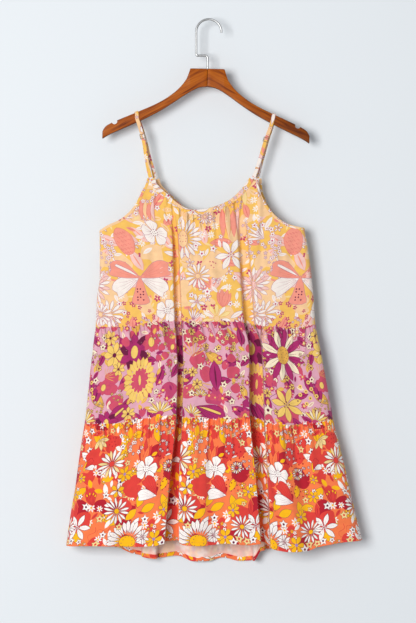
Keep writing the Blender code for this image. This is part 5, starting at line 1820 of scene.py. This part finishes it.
def arm_stations():
    """Where the hanger's arm is cut into sections: out from the stem, its top and its underside."""
    out = np.concatenate([[GAP / 2, 8, 16, 24, 30, 33, 34.4, 35.6, 37, 39], np.arange(42, 192, 6.0),
                          [192, 196, 199.5, 202.5, 205, 207, 208.3]])
    top = soft_curve(UPPER_EDGE, 1, out)
    top[:6] = 0.0
    top[5] = 0.35
    return out, -top, -soft_curve(LOWER_EDGE, 1, out)


def make_hanger_half(side):
    """A block at the stem, its end face drawn out along the arm section by section."""
    hand = HAND[side]
    out, top, under = arm_stations()
    low = under[0] * MM
    bpy.ops.mesh.primitive_plane_add(size=1, rotation=(0, math.radians(90), 0))
    half = bpy.context.object
    half.scale = (-low, WOOD * MM, 1)
    half.location = (hand * out[0] * MM, 0, low / 2)
    bpy.ops.object.transform_apply(location=True, rotation=True, scale=True)
    bpy.ops.object.mode_set(mode="EDIT")
    for k in range(1, len(out)):
        before, after = (top[k - 1] + under[k - 1]) / 2, (top[k] + under[k]) / 2
        step = (hand * (out[k] - out[k - 1]) * MM, 0, (after - before) * MM)
        bpy.ops.mesh.extrude_region_move(TRANSFORM_OT_translate={"value": step})
        bpy.ops.transform.resize(value=(1, 1, (top[k] - under[k]) / (top[k - 1] - under[k - 1])),
                                 center_override=(hand * out[k] * MM, 0, after * MM))
    bpy.ops.mesh.select_all(action="SELECT")
    bpy.ops.mesh.normals_make_consistent(inside=False)
    bpy.ops.object.mode_set(mode="OBJECT")
    half.location = (STEM_X * MM, 0, WOOD_TOP * MM)
    half.rotation_euler = (0, math.radians(TILT), 0)
    bpy.ops.object.transform_apply(location=True, rotation=True, scale=True)
    rounding = half.modifiers.new("edges", "BEVEL")
    rounding.width = WOOD_EDGE * MM
    rounding.segments = 4
    rounding.limit_method = "ANGLE"
    rounding.angle_limit = math.radians(50)
    bpy.ops.object.modifier_apply(modifier="edges")
    x, z = hanger_place(NOTCH["out"], NOTCH["drop"], hand)
    for place, radius, length, turn in (((x, 0, z), NOTCH["radius"], 3 * WOOD, 90),
                                        ((STEM_X, 0, WOOD_TOP), WIRE / 2 + GAP, 2 * STEM_IN_WOOD, 0)):
        bpy.ops.mesh.primitive_cylinder_add(
            vertices=40, radius=radius * MM, depth=length * MM, location=[p * MM for p in place],
            rotation=(math.radians(turn), 0, 0))
        cutter = bpy.context.object
        bpy.context.view_layer.objects.active = half
        cut = half.modifiers.new("cut", "BOOLEAN")
        cut.object = cutter
        bpy.ops.object.modifier_apply(modifier="cut")
        bpy.data.objects.remove(cutter)
    half.data.shade_smooth()
    half.data.set_sharp_from_angle(angle=math.radians(35))
    return half


# The wall, the light and the camera, in metres

WALL_BACK, MID_HEIGHT = 0.043, -0.6
LAMPS = (("key", (-1.6, -4.4, -0.2), 1.7, 170.0),)  # name, place, width, power
VIEW_FROM, VIEW_TALL, VIEW_CENTRE = 4.0, 1.254, (-0.0016, -0.586)


def make_stage():
    """A pale wall behind, which only shows from its front."""
    upright = (math.radians(90), 0, 0)
    bpy.ops.mesh.primitive_plane_add(size=12, location=(0, WALL_BACK, MID_HEIGHT), rotation=upright)
    wall = bpy.context.object
    wall.name = "wall"
    material, shader = new_material("wall_paint")
    paint = {"Base Color": (0.772, 0.803, 0.826, 1), "Roughness": 1.0, "Specular IOR Level": 0.0}
    feed(material, shader, paint)
    behind = put(material, "NewGeometry").outputs["Backfacing"]
    clear = put(material, "BsdfTransparent").outputs["BSDF"]
    either = put(material, "MixShader", {"Fac": behind, 1: shader.outputs["BSDF"], 2: clear})
    out = material.node_tree.nodes["Material Output"]
    feed(material, out, {"Surface": either.outputs["Shader"]})
    wall.data.materials.append(material)
    world = bpy.data.worlds.new("studio")
    bpy.context.scene.world = world
    world.use_nodes = True
    feed(world, world.node_tree.nodes["Background"], {"Color": (0.93, 0.96, 1.0, 1), "Strength": 0.39})
    for name, place, size, power in LAMPS:
        light = bpy.data.lights.new(name, "AREA")
        light.shape = "SQUARE"
        light.size = size
        light.energy = power
        lamp = bpy.data.objects.new(name, light)
        lamp.location = place
        aim = Vector((0, 0, MID_HEIGHT)) - Vector(place)
        lamp.rotation_euler = aim.to_track_quat("-Z", "Y").to_euler()
        bpy.context.collection.objects.link(lamp)


def make_camera():
    lens = bpy.data.cameras.new("camera")
    lens.sensor_fit = "AUTO"
    lens.sensor_width = 36.0
    lens.lens = lens.sensor_width * VIEW_FROM / VIEW_TALL
    camera = bpy.data.objects.new("camera", lens)
    camera.location = (VIEW_CENTRE[0], -VIEW_FROM, VIEW_CENTRE[1])
    camera.rotation_euler = (math.radians(90), 0, 0)
    bpy.context.collection.objects.link(camera)
    bpy.context.scene.camera = camera


STITCH_IN = 1.0  # how far inside a turned edge its stitches run

bpy.context.scene.view_settings.view_transform = "Standard"
bpy.ops.object.select_all(action="DESELECT")

panels = {(piece, face): bodice_panel(face) if piece == "bodice" else tier_panel(piece, face)
          for piece in ("bodice", "middle_tier", "bottom_tier") for face in FACING}
casings = {face: neck_casing(face) for face in FACING}
bindings = {side: armhole_binding(side) for side in HAND}
straps = {side: strap(side) for side in HAND}
stitches = {}
for face in FACING:
    _, (width, tall), _, surface = panels["bottom_tier", face]
    half_wide, end = width / MM / 2, tall / MM - ALLOWANCE
    across = np.arange(3 - half_wide, half_wide - 3, 2.0)
    points, normals = surface(across, np.full_like(across, end - 2 * HEM_DEEP - STITCH_IN))
    stitches["bottom_tier", face] = stitch_line(f"hem_stitches_{face}", points, normals, "orange_ground")
for face in FACING:
    edge = finished_edges(face)["neck"]
    runs = np.arange(4.0, float(edge[2][-1]) - 4.0, 2.0)
    points, normals, _ = edge_places(face, edge)(runs, np.full_like(runs, NECK_CASING - 1.4))
    points += 1.2 * normals  # onto the casing's outer half
    stitches["bodice", face] = stitch_line(f"neck_stitches_{face}", points, normals, "gold_ground")
hook = make_hook()
finish_piece(hook, "hook_wire", steel_material(), "steel_wire", "hook")
wood, plastic = wood_material(), plastic_material()
for side in HAND:
    finish_piece(make_hanger_half(side), f"hanger_{side}_wood", wood, "hanger_wood", f"hanger_{side}")
    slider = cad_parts[f"slider_{side}"].data
    slider.materials.clear()
    slider.materials.append(plastic)
for (piece, face), (panel, size, area, surface) in panels.items():
    with_pieces = [stitches[piece, face]] if (piece, face) in stitches else []
    if piece == "bodice":
        with_pieces += [casings[face]] + ([*bindings.values(), *straps.values()] if face == "front" else [])

make_stage()
make_camera()
